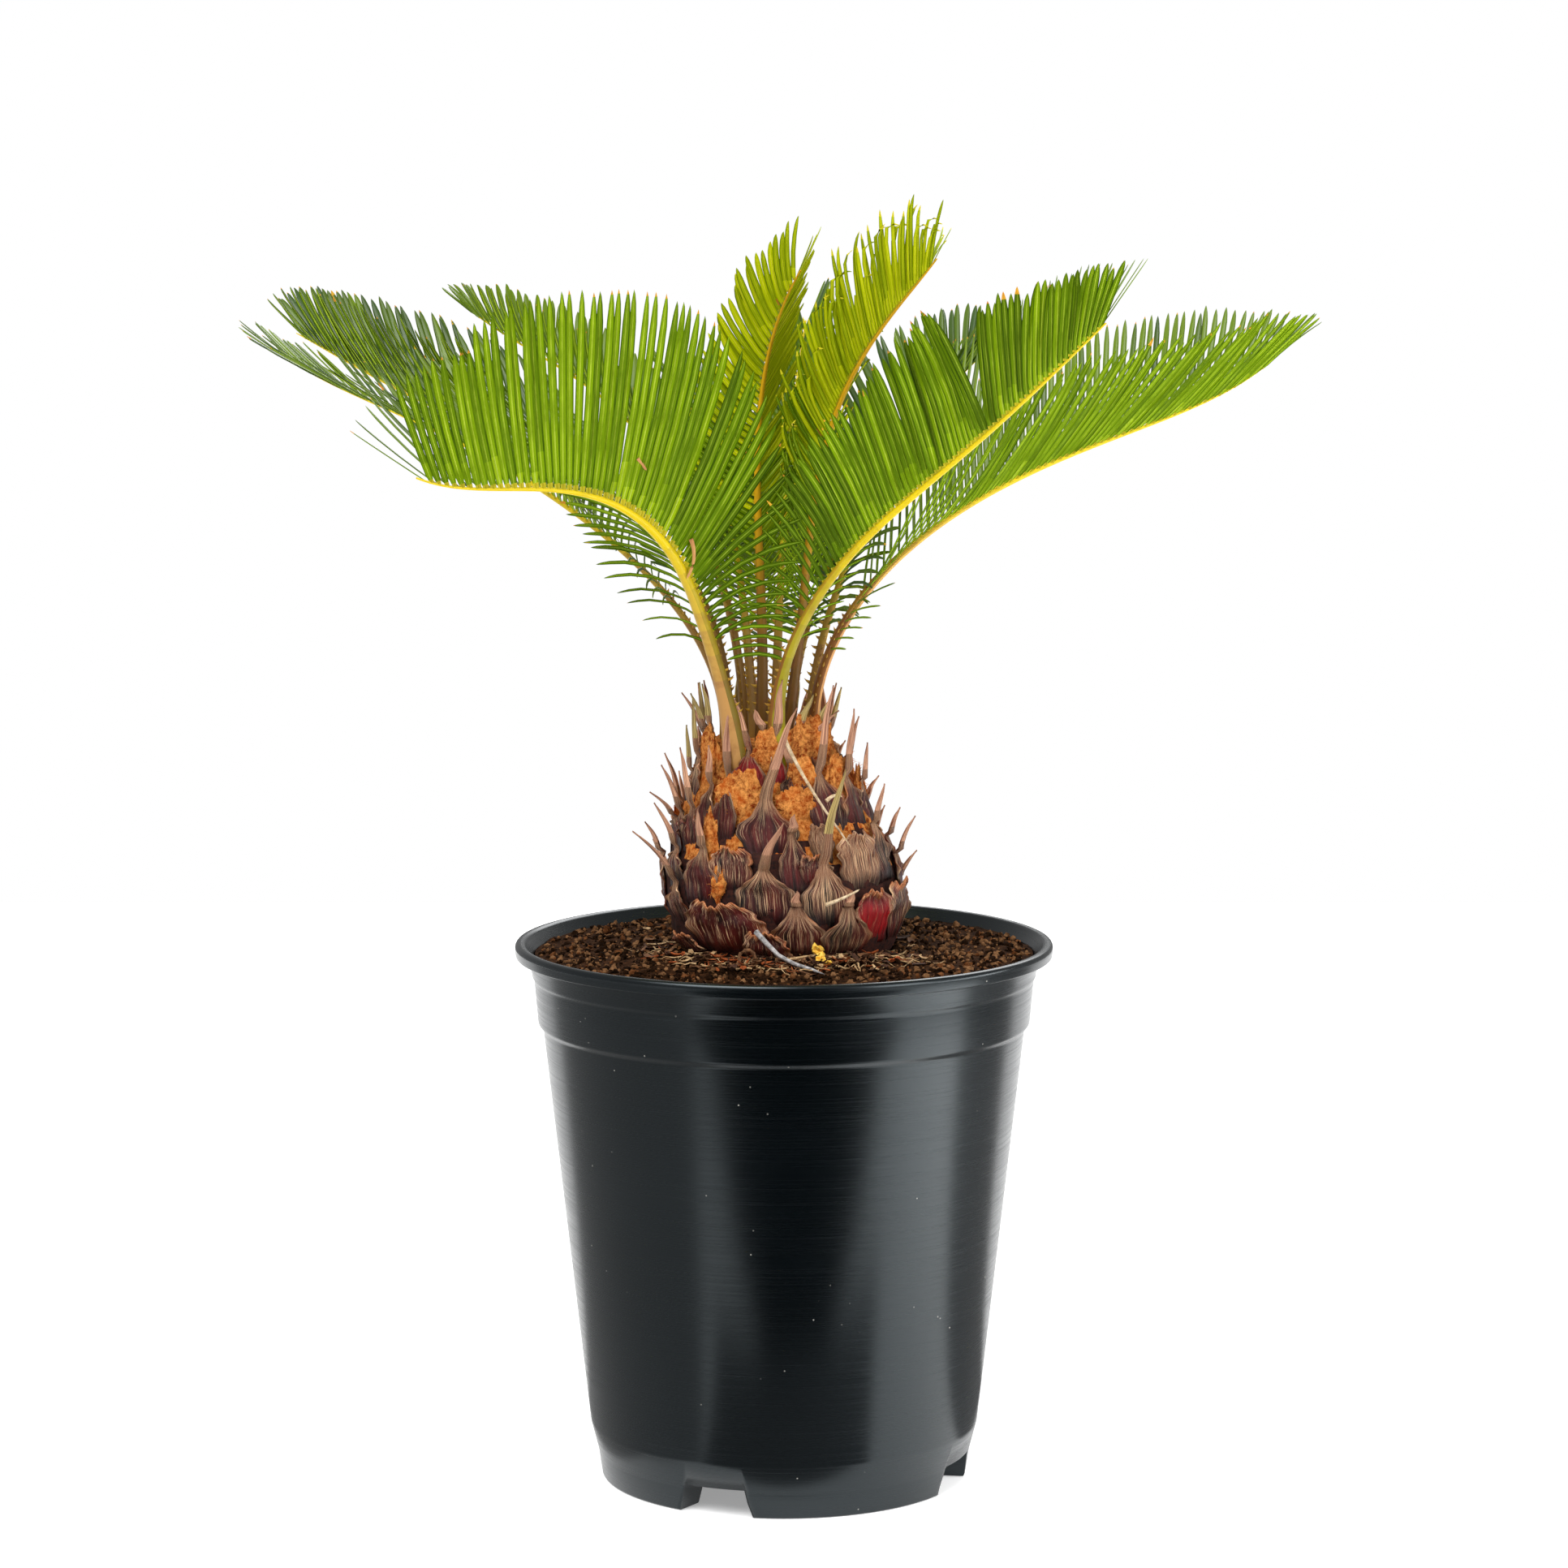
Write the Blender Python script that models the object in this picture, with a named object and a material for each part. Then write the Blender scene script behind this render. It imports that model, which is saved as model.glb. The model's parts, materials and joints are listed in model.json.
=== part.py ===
"""Sago palm in a round nursery pot, one object for each sub-part, in metres with +Z up.

The origin is on the ground under the middle of the pot. The viewer of the plant stands on
the -Y side. The pot is a turned shell on four feet, the soil fills it, the caudex stands on
the soil with its leaf-base scales fused on, and every frond is one closed blade whose
outline is cut in to its rib between the leaflets.
"""
import math
import random
from typing import NamedTuple

import bmesh
import bpy
from mathutils import Matrix, Vector
from mathutils.bvhtree import BVHTree

MM = 0.001
GAP = 0.3 * MM                    # air between touching pieces

# Pot: radii of the outer face, from the rim down to the ground
POT_HEIGHT = 218 * MM
RIM_RADIUS = 108 * MM
RIM_FACE = 4.8 * MM               # height of the rim's upright outer face
RIM_ROUND = 1.4 * MM
RIM_INNER_RADIUS = 103.4 * MM
COLLAR_TOP_RADIUS = 101.4 * MM    # wall just under the rim
COLLAR_RADIUS = 99.4 * MM         # at the upper groove
COLLAR_HEIGHT = 200.5 * MM
BAND_RADIUS = 97.6 * MM           # at the foot of the second band
BAND_HEIGHT = 185 * MM
WALL_TOP_RADIUS = 95.4 * MM
WALL_TOP_HEIGHT = 181 * MM
WALL_FOOT_RADIUS = 78.1 * MM
WALL_FOOT_HEIGHT = 22 * MM
HEEL_RADIUS = 75.3 * MM
HEEL_HEIGHT = 10 * MM
GROUND_RADIUS = 73.8 * MM
GROOVE = 0.9 * MM                 # how far a groove cuts in
WALL = 2.0 * MM
FLOOR_HEIGHT = 11 * MM            # underside of the raised floor
FLOOR = 2.5 * MM
FOOT_INNER_RADIUS = 61 * MM
FOOT_BEARING = -66.5              # degrees from +X, the foot nearest to the viewer
FEET = 4
SLOT_HALF_ANGLE = 12.6            # half of the opening between two feet, at the ground
SLOT_TOP_HALF_ANGLE = 9.6         # and under the floor, so a foot's ends slope
SLOT_BITE = 0.4 * MM              # the slot runs this far into the floor
SLOT_INNER = 50 * MM              # radii between which a slot is cut
SLOT_OUTER = 90 * MM
POT_SEGMENTS = 48

# Soil
SOIL_TOP = 213.2 * MM
SOIL_SWELL = 1.0 * MM             # the soil's low ring between caudex and rim
SOIL_SEAT_RADIUS = 56 * MM

# Caudex: a swollen trunk that leans a little to the left as it rises
TRUNK_FOOT = SOIL_TOP + GAP
TRUNK_HEIGHT = 86 * MM
TRUNK_RADII = ((0.0, 40.0), (0.1, 46.0), (0.27, 47.5), (0.42, 45.5), (0.65, 38.5),
               (0.84, 31.0), (0.95, 26.5), (1.0, 24.0))     # share of the height, mm
TRUNK_FOOT_X = 2 * MM
TRUNK_TOP_X = -6 * MM
TRUNK_SIDES = 16
SCALES = 54
SCALE_WIDTH = 21 * MM
SCALE_LENGTH = 26 * MM
SCALE_BULGE = 3.4 * MM
SCALE_SUNK = 2.6 * MM
SCALE_FOOTING = 0.7 * MM          # the lowest scales end this far above the trunk's foot
LOWEST_SCALE = 0.05               # shares of the trunk's height
HIGHEST_SCALE = 0.95
GOLDEN_ANGLE = 137.508
SPINE_LENGTHS = (9 * MM, 21 * MM)
SPINE_LEANS = (6, 34)             # degrees out from the trunk's face
SPINE_SWAY = 0.25                 # how far a spine may lean sideways
BRACTS = 15                       # upright dry points round the crown
BRACT_RING = 27 * MM
BRACT_LENGTHS = (22 * MM, 34 * MM)
BRACT_FOOT = 0.86                 # share of the trunk's height
SEED = 11

# Fronds
RIB_STEPS = 96                    # straight steps that the rib's path is worked out in
PETIOLE_HALF = 3.2 * MM           # half-width of a petiole at its foot
RIB_HALF = 1.5 * MM               # half-width where the leaflets start
RIB_TIP_HALF = 0.6 * MM
PETIOLE_RINGS = (0.0, 0.15, 0.35, 0.6, 0.85)   # shares of the bare stretch
LEAFLETS = 20                     # on each side of a frond
LAST_LEAFLET = 0.985              # share of the rib where the last pair stands
ROOT_HALF = 1.5 * MM              # half-width of a leaflet at the rib
LEAF_HALF = 3.1 * MM              # half-width at its middle
LEAF_SLENDERNESS = 80             # a leaflet's length over its thickness
LEAF_THINNEST = 0.75 * MM
LEAF_BEND = 0.55                  # share of a leaflet before its tip turns up
LEAF_GROWTH = (0.3, 1.35, 1.1, 0.45)   # leaflet length along the frond, by its longest
CLEARANCE = 0.6 * MM              # air kept round a leaflet
SHORTER = (1.0, 0.8, 0.62, 0.45)  # lengths tried before a leaflet is left out

LEAF_CROWDING = 0.4               # half-width of a leaflet by its share of the rib
TIP_FORWARD = 0.2                 # how far a leaflet's tip swings along the rib
TIP_UP = 0.05                     # and upwards

SPREAD = (88, 66, 58, 42)         # leaflet's angle to the rib, from foot to tip
OPENING = (15, 55, 50, 50)        # leaflet's angle above the frond's flat plane


class Frond(NamedTuple):
    """One frond. Angles are in degrees and lengths in millimetres."""

    name: str
    bearing: float                # compass direction from +X towards +Y
    foot: tuple                   # bearing and radius of the foot in the crown
    foot_height: float
    length: float
    rise: tuple                   # angle above the level along the rib, blended
    leaf: float                   # longest leaflet
    turn: float = 0.0             # change of bearing from foot to tip
    spread: tuple = SPREAD
    opening: tuple = OPENING
    roll: float = 0.0             # turns the blade about its rib
    bare: float = 0.24            # share of the rib with no leaflets
    stout: float = 1.0            # thickness of the petiole


FRONDS = (
    Frond("frond_front_left", 250, (216, 20), 292, 223, (74, 66, 74, 14, -30, 22), 82,
          turn=-44, spread=(88, 74, 80, 55), opening=(15, 50, 52, 50), roll=-20,
          bare=0.17, stout=1.5),
    Frond("frond_front_right", 322, (287, 20), 296, 241, (96, 72, 6, 42, 38, 40), 64,
          bare=0.18, stout=1.3),
    Frond("frond_right", 20, (0, 18), 298, 269, (96, 44, 20, 26, -2, 40), 68),
    Frond("frond_left", 172, (178, 18), 298, 253, (96, 40, 26, 48, -4, 40), 54,
          spread=(88, 66, 66, 42)),
    Frond("frond_left_back", 152, (150, 18), 298, 281, (90, 78, 0, 8, 30, 24), 56,
          spread=(88, 66, 66, 42)),
    Frond("frond_back_left", 136, (122, 18), 298, 256, (88, 70, 42, 0, 30), 38,
          spread=(88, 66, 66, 42), opening=(15, 45, 40, 40)),
    Frond("frond_heart_front", 305, (243, 7), 302, 192, (86, 91, 112, 74, 44), 42,
          spread=(85, 70, 64, 32), opening=(15, 40, 40, 40)),
    Frond("frond_heart_right", 325, (330, 8), 302, 208, (80, 78, 112, 28, 49), 55,
          spread=(80, 60, 46, 32), opening=(15, 40, 40, 40)),
    Frond("frond_back_right", 45, (36, 19), 298, 192, (86, 65, 50, 48, 28), 50),
    Frond("frond_heart_back", 78, (70, 7), 302, 175, (82, 80, 66, 50), 46),
    Frond("frond_heart_left", 112, (140, 8), 302, 172, (82, 76, 46, 20), 40),
    Frond("frond_back", 96, (96, 18), 298, 171, (80, 72, 40, 10, 20), 50),
    Frond("frond_back_middle", 62, (66, 18), 298, 174, (78, 64, 36, 5, 20), 50),
)


def clear_scene():
    for obj in list(bpy.data.objects):
        bpy.data.objects.remove(obj, do_unlink=True)


def material(name, colour, roughness):
    mat = bpy.data.materials.new(name)
    mat.use_nodes = True
    shader = mat.node_tree.nodes["Principled BSDF"]
    shader.inputs["Base Color"].default_value = (*colour, 1.0)
    shader.inputs["Roughness"].default_value = roughness
    shader.inputs["Metallic"].default_value = 0.0
    return mat


def object_from(bm, name, mat, smooth_angle=40):
    """Close off a bmesh as an object with outward faces."""
    bmesh.ops.recalc_face_normals(bm, faces=bm.faces)
    mesh = bpy.data.meshes.new(name)
    bm.to_mesh(mesh)
    bm.free()
    mesh.materials.append(mat)
    mesh.shade_smooth()
    mesh.set_sharp_from_angle(angle=math.radians(smooth_angle))
    obj = bpy.data.objects.new(name, mesh)
    bpy.context.scene.collection.objects.link(obj)
    return obj


def turned(profile, segments):
    """Spin a profile of (radius, height) points, from axis to axis, into a closed solid."""
    bm = bmesh.new()
    verts = [bm.verts.new((radius, 0.0, height)) for radius, height in profile]
    for first, second in zip(verts, verts[1:]):
        bm.edges.new((first, second))
    bmesh.ops.spin(bm, geom=bm.verts[:] + bm.edges[:], cent=(0, 0, 0), axis=(0, 0, 1),
                   angle=math.tau, steps=segments, use_merge=True)
    bmesh.ops.remove_doubles(bm, verts=bm.verts, dist=0.01 * MM)
    return bm


def bake_boolean(obj, operation, collection):
    """Run a Boolean with the exact solver and keep its result as the object's mesh."""
    modifier = obj.modifiers.new("join", "BOOLEAN")
    modifier.operation = operation
    modifier.solver = "EXACT"
    modifier.operand_type = "COLLECTION"
    modifier.collection = collection
    depsgraph = bpy.context.evaluated_depsgraph_get()
    mesh = bpy.data.meshes.new_from_object(obj.evaluated_get(depsgraph))
    obj.modifiers.clear()
    obj.data = mesh


def with_parts(obj, operation, parts):
    """Boolean an object with a list of objects, which are then removed."""
    group = bpy.data.collections.new("parts")
    bpy.context.scene.collection.children.link(group)
    for part in parts:
        bpy.context.scene.collection.objects.unlink(part)
        group.objects.link(part)
    bake_boolean(obj, operation, group)
    for part in parts:
        bpy.data.objects.remove(part, do_unlink=True)
    bpy.data.collections.remove(group)


def blend(values, share):
    """A Bezier curve through control values, at a share from 0 to 1."""
    order = len(values) - 1
    return sum(math.comb(order, i) * share**i * (1 - share)**(order - i) * value
               for i, value in enumerate(values))


def along(points, share):
    """Read a broken line of (share, value) points at a share."""
    for (start, low), (end, high) in zip(points, points[1:]):
        if share <= end:
            return low + (high - low) * (share - start) / (end - start)
    return points[-1][1]


# Pot

def pot_profile():
    """Half section of the pot, from the floor's top over the rim to the floor's underside."""
    rim_foot = POT_HEIGHT - RIM_FACE
    crest = RIM_RADIUS - RIM_ROUND
    outer = [
        (crest, POT_HEIGHT),
        (RIM_RADIUS - 0.3 * RIM_ROUND, POT_HEIGHT - 0.3 * RIM_ROUND),
        (RIM_RADIUS, POT_HEIGHT - RIM_ROUND),
        (RIM_RADIUS, rim_foot),
        (COLLAR_TOP_RADIUS, rim_foot - 0.8 * MM),
        (COLLAR_RADIUS, COLLAR_HEIGHT),
        (COLLAR_RADIUS - GROOVE, COLLAR_HEIGHT - 1.2 * MM),
        (COLLAR_RADIUS - 0.2 * MM, COLLAR_HEIGHT - 3 * MM),
        (BAND_RADIUS, BAND_HEIGHT),
        (WALL_TOP_RADIUS, WALL_TOP_HEIGHT),
        (WALL_FOOT_RADIUS, WALL_FOOT_HEIGHT),
        (HEEL_RADIUS, HEEL_HEIGHT),
        (GROUND_RADIUS, 0.0),
    ]
    foot = [
        (FOOT_INNER_RADIUS, 0.0),
        (FOOT_INNER_RADIUS - 1.5 * MM, FLOOR_HEIGHT),
        (0.0, FLOOR_HEIGHT),
    ]
    inner = [
        (0.0, FLOOR_HEIGHT + FLOOR),
        (inside_radius(FLOOR_HEIGHT + FLOOR), FLOOR_HEIGHT + FLOOR),
        (inside_radius(WALL_FOOT_HEIGHT), WALL_FOOT_HEIGHT),
        (inside_radius(WALL_TOP_HEIGHT), WALL_TOP_HEIGHT),
        (inside_radius(COLLAR_HEIGHT), COLLAR_HEIGHT),
        (inside_radius(rim_foot), rim_foot),
        (RIM_INNER_RADIUS, POT_HEIGHT - RIM_ROUND),
    ]
    return inner + outer + foot


def inside_radius(height):
    """Radius of the pot's inner face at a height."""
    wall = ((FLOOR_HEIGHT + FLOOR, HEEL_RADIUS), (WALL_FOOT_HEIGHT, WALL_FOOT_RADIUS),
            (WALL_TOP_HEIGHT, WALL_TOP_RADIUS), (COLLAR_HEIGHT, COLLAR_RADIUS),
            (POT_HEIGHT - RIM_FACE, COLLAR_TOP_RADIUS))
    return along(wall, height) - WALL


def slot_cutter(bearing):
    """A block with sloping ends that opens the ring of the foot between two feet."""
    bm = bmesh.new()
    levels = ((-2 * MM, SLOT_HALF_ANGLE), (FLOOR_HEIGHT + SLOT_BITE, SLOT_TOP_HALF_ANGLE))
    rings = []
    for height, half in levels:
        ring = []
        for radius, side in ((SLOT_INNER, -1), (SLOT_OUTER, -1), (SLOT_OUTER, 1), (SLOT_INNER, 1)):
            angle = math.radians(bearing + side * half)
            ring.append(bm.verts.new((radius * math.cos(angle), radius * math.sin(angle),
                                      height)))
        rings.append(ring)
    skin(bm, rings)
    return object_from(bm, "slot", bpy.data.materials["pot_plastic"])


def skin(bm, rings):
    """Join rings of vertices, one to the next, and close both ends."""
    for lower, upper in zip(rings, rings[1:]):
        count = len(lower)
        for i in range(count):
            j = (i + 1) % count
            bm.faces.new((lower[i], lower[j], upper[j], upper[i]))
    bm.faces.new(rings[0][::-1])
    bm.faces.new(rings[-1])


def make_pot():
    pot = object_from(turned(pot_profile(), POT_SEGMENTS), "pot",
                      material("pot_plastic", (0.012, 0.016, 0.020), 0.3), 25)
    step = 360 / FEET
    slots = [slot_cutter(FOOT_BEARING + step * (i + 0.5)) for i in range(FEET)]
    with_parts(pot, "DIFFERENCE", slots)
    return pot


def make_soil():
    """Soil that fills the pot, with a flat seat for the caudex."""
    floor = FLOOR_HEIGHT + FLOOR + GAP
    heights = (floor, WALL_FOOT_HEIGHT, WALL_TOP_HEIGHT, COLLAR_HEIGHT, SOIL_TOP - 1 * MM)
    side = [(inside_radius(height) - GAP, height) for height in heights]
    edge = side[-1][0]
    top = [(edge * 0.9, SOIL_TOP), (edge * 0.72, SOIL_TOP + SOIL_SWELL),
           (SOIL_SEAT_RADIUS, SOIL_TOP), (0.0, SOIL_TOP)]
    bm = turned([(0.0, floor)] + side + top, POT_SEGMENTS)
    return object_from(bm, "soil", material("soil", (0.035, 0.02, 0.012), 0.95))


# Caudex

def trunk_radius(share):
    return along(TRUNK_RADII, share) * MM


def trunk_axis(share):
    """Middle of the trunk at a share of its height."""
    x = TRUNK_FOOT_X + (TRUNK_TOP_X - TRUNK_FOOT_X) * share
    return Vector((x, 0.0, TRUNK_FOOT + TRUNK_HEIGHT * share))


def trunk_core(mat):
    bm = bmesh.new()
    rings = []
    for share, _ in TRUNK_RADII:
        ring = bmesh.ops.create_circle(bm, segments=TRUNK_SIDES, radius=trunk_radius(share),
                                       matrix=Matrix.Translation(trunk_axis(share)))
        rings.append(ring["verts"])
    skin(bm, rings)
    return object_from(bm, "caudex", mat)


def spindle(mat, stations):
    """A closed piece through stations of (point, half-width vector, half-depth vector)."""
    bm = bmesh.new()
    rings = []
    for point, across, out in stations:
        corners = (point - across, point + out, point + across, point - out)
        rings.append([bm.verts.new(corner) for corner in corners])
    skin(bm, rings)
    return object_from(bm, "scale", mat)


def scale_piece(mat, number, rng):
    """A leaf-base shield with its dry spine, set on the trunk in a spiral."""
    share = LOWEST_SCALE + (HIGHEST_SCALE - LOWEST_SCALE) * number / (SCALES - 1)
    bearing = math.radians(number * GOLDEN_ANGLE)
    out = Vector((math.cos(bearing), math.sin(bearing), 0.0))
    across = Vector((-out.y, out.x, 0.0))
    size = 0.6 + 0.4 * trunk_radius(share) / trunk_radius(0.27)
    length = SCALE_LENGTH * size
    half = SCALE_WIDTH * size / 2

    below = min(length / 2, share * TRUNK_HEIGHT - SCALE_FOOTING)

    def on_trunk(rise, lift):
        height = share + rise / TRUNK_HEIGHT
        return trunk_axis(height) + out * (trunk_radius(height) + lift)

    lean = math.radians(rng.uniform(*SPINE_LEANS))
    spine = rng.uniform(*SPINE_LENGTHS)
    tip_way = Vector((0, 0, 1)) * math.cos(lean) + out * math.sin(lean)
    tip_way += across * rng.uniform(-SPINE_SWAY, SPINE_SWAY)
    neck = on_trunk(0.42 * length, SCALE_BULGE * 0.5)
    stations = (
        (on_trunk(-below, -SCALE_SUNK), across * half * 0.55, out * 0.8 * MM),
        (on_trunk(-0.45 * below, 0.0), across * half, out * SCALE_BULGE),
        (on_trunk(0.12 * length, 0.0), across * half * 0.8, out * SCALE_BULGE * 0.9),
        (neck, across * half * 0.3, out * 1.5 * MM),
        (neck + tip_way * spine + out * 1.5 * MM, across * 0.35 * MM, out * 0.3 * MM),
    )
    return spindle(mat, stations)


def bract_piece(mat, number, rng):
    """One of the upright dry points that stand round the petioles."""
    bearing = math.radians(number * 360 / BRACTS + rng.uniform(-6, 6))
    out = Vector((math.cos(bearing), math.sin(bearing), 0.0))
    across = Vector((-out.y, out.x, 0.0))
    length = rng.uniform(*BRACT_LENGTHS)
    lean = math.radians(rng.uniform(0, 16))
    way = Vector((0, 0, 1)) * math.cos(lean) + out * math.sin(lean)
    foot = trunk_axis(BRACT_FOOT) + out * (BRACT_RING - 1.5 * MM)
    stations = (
        (foot, across * 5.5 * MM, out * 1.8 * MM),
        (foot + way * length * 0.4, across * 3.6 * MM, out * 1.3 * MM),
        (foot + way * length * 0.75, across * 1.5 * MM, out * 0.8 * MM),
        (foot + way * length, across * 0.4 * MM, out * 0.3 * MM),
    )
    return spindle(mat, stations)


def largest_body(obj):
    """Drop the loose scraps that a cut leaves, and keep the largest body."""
    bm = bmesh.new()
    bm.from_mesh(obj.data)
    bmesh.ops.remove_doubles(bm, verts=bm.verts, dist=0.01 * MM)
    bodies = []
    left = set(bm.verts)
    while left:
        body = set()
        front = [left.pop()]
        while front:
            vert = front.pop()
            body.add(vert)
            near = {edge.other_vert(vert) for edge in vert.link_edges} & left
            left -= near
            front.extend(near)
        bodies.append(body)
    bodies.sort(key=len)
    scraps = [vert for body in bodies[:-1] for vert in body]
    bmesh.ops.delete(bm, geom=scraps, context="VERTS")
    bmesh.ops.triangulate(bm, faces=bm.faces)
    bm.to_mesh(obj.data)
    bm.free()


def make_caudex(sockets):
    """The trunk with its scales and bracts fused on, and a socket for each petiole."""
    mat = material("caudex", (0.09, 0.035, 0.03), 0.75)
    rng = random.Random(SEED)
    core = trunk_core(mat)
    pieces = [scale_piece(mat, number, rng) for number in range(SCALES)]
    pieces += [bract_piece(mat, number, rng) for number in range(BRACTS)]
    with_parts(core, "UNION", pieces)
    with_parts(core, "DIFFERENCE", sockets)
    largest_body(core)
    return core


# Fronds

class Rib:
    """The path of a frond's rib, read at a share of its length."""

    def __init__(self, frond):
        self.frond = frond
        angle = math.radians(frond.foot[0])
        radius = frond.foot[1] * MM
        self.length = frond.length * MM
        self.points = [Vector((TRUNK_TOP_X + radius * math.cos(angle),
                               radius * math.sin(angle), frond.foot_height * MM))]
        for step in range(RIB_STEPS):
            way = self.frame((step + 0.5) / RIB_STEPS)[0]
            self.points.append(self.points[-1] + way * self.length / RIB_STEPS)

    def frame(self, share):
        """Directions along the rib, to its right side and up from its face."""
        rise = math.radians(blend(self.frond.rise, share))
        bearing = math.radians(self.frond.bearing + self.frond.turn * share)
        level = Vector((math.cos(bearing), math.sin(bearing), 0.0))
        way = level * math.cos(rise) + Vector((0, 0, math.sin(rise)))
        side = Vector((level.y, -level.x, 0.0))
        face = Vector((0, 0, math.cos(rise))) - level * math.sin(rise)
        return way, side, face

    def point(self, share):
        place = min(max(share, 0.0), 1.0) * RIB_STEPS
        index = min(int(place), RIB_STEPS - 1)
        return self.points[index].lerp(self.points[index + 1], place - index)

    def half(self, share):
        """Half-width of the petiole and rib."""
        bare = self.frond.bare
        petiole = PETIOLE_HALF * self.frond.stout
        start = RIB_HALF * (1 + self.frond.stout) / 2
        if share < bare:
            return petiole + (start - petiole) * (share / bare)**0.7
        return start + (RIB_TIP_HALF - start) * (share - bare) / (1 - bare)

    def ring(self, share, extra=0.0):
        """Corners of the rib's section: right and left of its face, left and right below."""
        _, side, face = self.frame(share)
        half = self.half(share) + extra
        middle = self.point(share)
        return [middle + side * half + face * half, middle - side * half + face * half,
                middle - side * half - face * half, middle + side * half - face * half]


def leaflet_stations(rib):
    """Shares of the rib where each pair of leaflets starts and ends."""
    bare = rib.frond.bare
    half = ROOT_HALF / rib.length
    step = (LAST_LEAFLET - bare) / LEAFLETS
    middles = [bare + step * (number + 0.5) for number in range(LEAFLETS)]
    return [(middle - half, middle + half) for middle in middles]


def leaflet_points(rib, start, end, side, reach, swell=0.0):
    """Points of one leaflet: its ring on the rib, the ring at its bend, and its tip.

    side is 1 on the rib's right and -1 on its left, reach shortens the leaflet, and swell
    thickens it for the test of clearance.
    """
    frond = rib.frond
    share = (start + end) / 2
    place = (share - frond.bare) / (1 - frond.bare)
    way, right, face = rib.frame(share)
    out = right * side
    spread = math.radians(blend(frond.spread, place))
    roll = frond.roll * side * min(1.0, 3 * place)
    opening = math.radians(blend(frond.opening, place) + roll)
    length = frond.leaf * MM * blend(LEAF_GROWTH, place) * reach
    lifted = out * math.cos(opening) + face * math.sin(opening)
    grow = way * math.cos(spread) + lifted * math.sin(spread)
    tip_grow = (grow + way * TIP_FORWARD * place + Vector((0, 0, TIP_UP))).normalized()
    across = (way - grow * way.dot(grow)).normalized()
    normal = grow.cross(across) * side
    step = (LAST_LEAFLET - frond.bare) / LEAFLETS * rib.length
    half = min(LEAF_HALF, LEAF_CROWDING * step * math.sin(spread)) + swell
    thick = max(LEAF_THINNEST, length / LEAF_SLENDERNESS) / 2 + swell
    root = rib.point(share)
    bend = root + grow * length * LEAF_BEND
    tip = bend + tip_grow * (length * (1 - LEAF_BEND) + swell)
    low, high = rib.ring(start), rib.ring(end)
    upper, lower = (0, 3) if side > 0 else (1, 2)
    base = [low[lower], high[lower], high[upper], low[upper]]
    ring = [bend - across * half - normal * thick, bend + across * half - normal * thick,
            bend + across * half + normal * thick, bend - across * half + normal * thick]
    return base, ring, tip


def triangles(shapes):
    """Vertices and triangles of leaflets, for a test of what they touch."""
    points, faces = [], []
    for base, ring, tip in shapes:
        first = len(points)
        points += base + ring + [tip]
        for i in range(4):
            j = (i + 1) % 4
            faces.append((first + i, first + j, first + 4 + j))
            faces.append((first + i, first + 4 + j, first + 4 + i))
            faces.append((first + 4 + i, first + 4 + j, first + 8))
    return points, faces


def tree_of(points, faces):
    return BVHTree.FromPolygons(points, faces)


def tree_of_object(obj):
    mesh = obj.data
    return tree_of([vert.co for vert in mesh.vertices],
                   [tuple(face.vertices) for face in mesh.polygons])


def tube(rings):
    """Faces of a closed run of rings, as points and polygons."""
    points = [corner for ring in rings for corner in ring]
    size = len(rings[0])
    faces = []
    for index in range(len(rings) - 1):
        for i in range(size):
            j = (i + 1) % size
            first = index * size
            faces.append((first + i, first + j, first + size + j, first + size + i))
    faces.append(tuple(range(size))[::-1])
    faces.append(tuple(range(len(points) - size, len(points))))
    return points, faces


def rib_shares(rib):
    """Where the rib has a ring: its petiole, then the ends of every leaflet, then its tip."""
    bare = rib.frond.bare
    petiole = [bare * part for part in PETIOLE_RINGS]
    pairs = [share for pair in leaflet_stations(rib) for share in pair]
    return petiole + pairs + [1.0]


def socket_cutter(rib):
    """The petiole's foot made larger by the gap, with which the caudex is cut."""
    shares = [rib.frond.bare * part for part in PETIOLE_RINGS]
    rings = [rib.ring(share, GAP) for share in shares]
    drop = rib.frame(0.0)[0] * GAP
    rings[0] = [corner - drop for corner in rings[0]]
    points, faces = tube(rings)
    bm = bmesh.new()
    verts = [bm.verts.new(point) for point in points]
    for face in faces:
        bm.faces.new([verts[index] for index in face])
    return object_from(bm, "socket", bpy.data.materials["frond_green"])


def choose_leaflets(rib, stations, others):
    """Leaflets that fit: shortened, or left out, where they would touch something."""
    chosen = {}
    for side in (1, -1):
        for number, (start, end) in enumerate(stations):
            for reach in SHORTER:
                wide = leaflet_points(rib, start, end, side, reach, CLEARANCE)
                probe = tree_of(*triangles([(wide[0], wide[1], wide[2])]))
                if any(probe.overlap(other) for other in others):
                    continue
                previous = chosen.get((side, number - 1))
                leaflet = leaflet_points(rib, start, end, side, reach)
                if previous is not None:
                    this_tree = tree_of(*triangles([leaflet]))
                    if this_tree.overlap(tree_of(*triangles([previous]))):
                        continue
                chosen[(side, number)] = leaflet
                break
    return chosen


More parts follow.
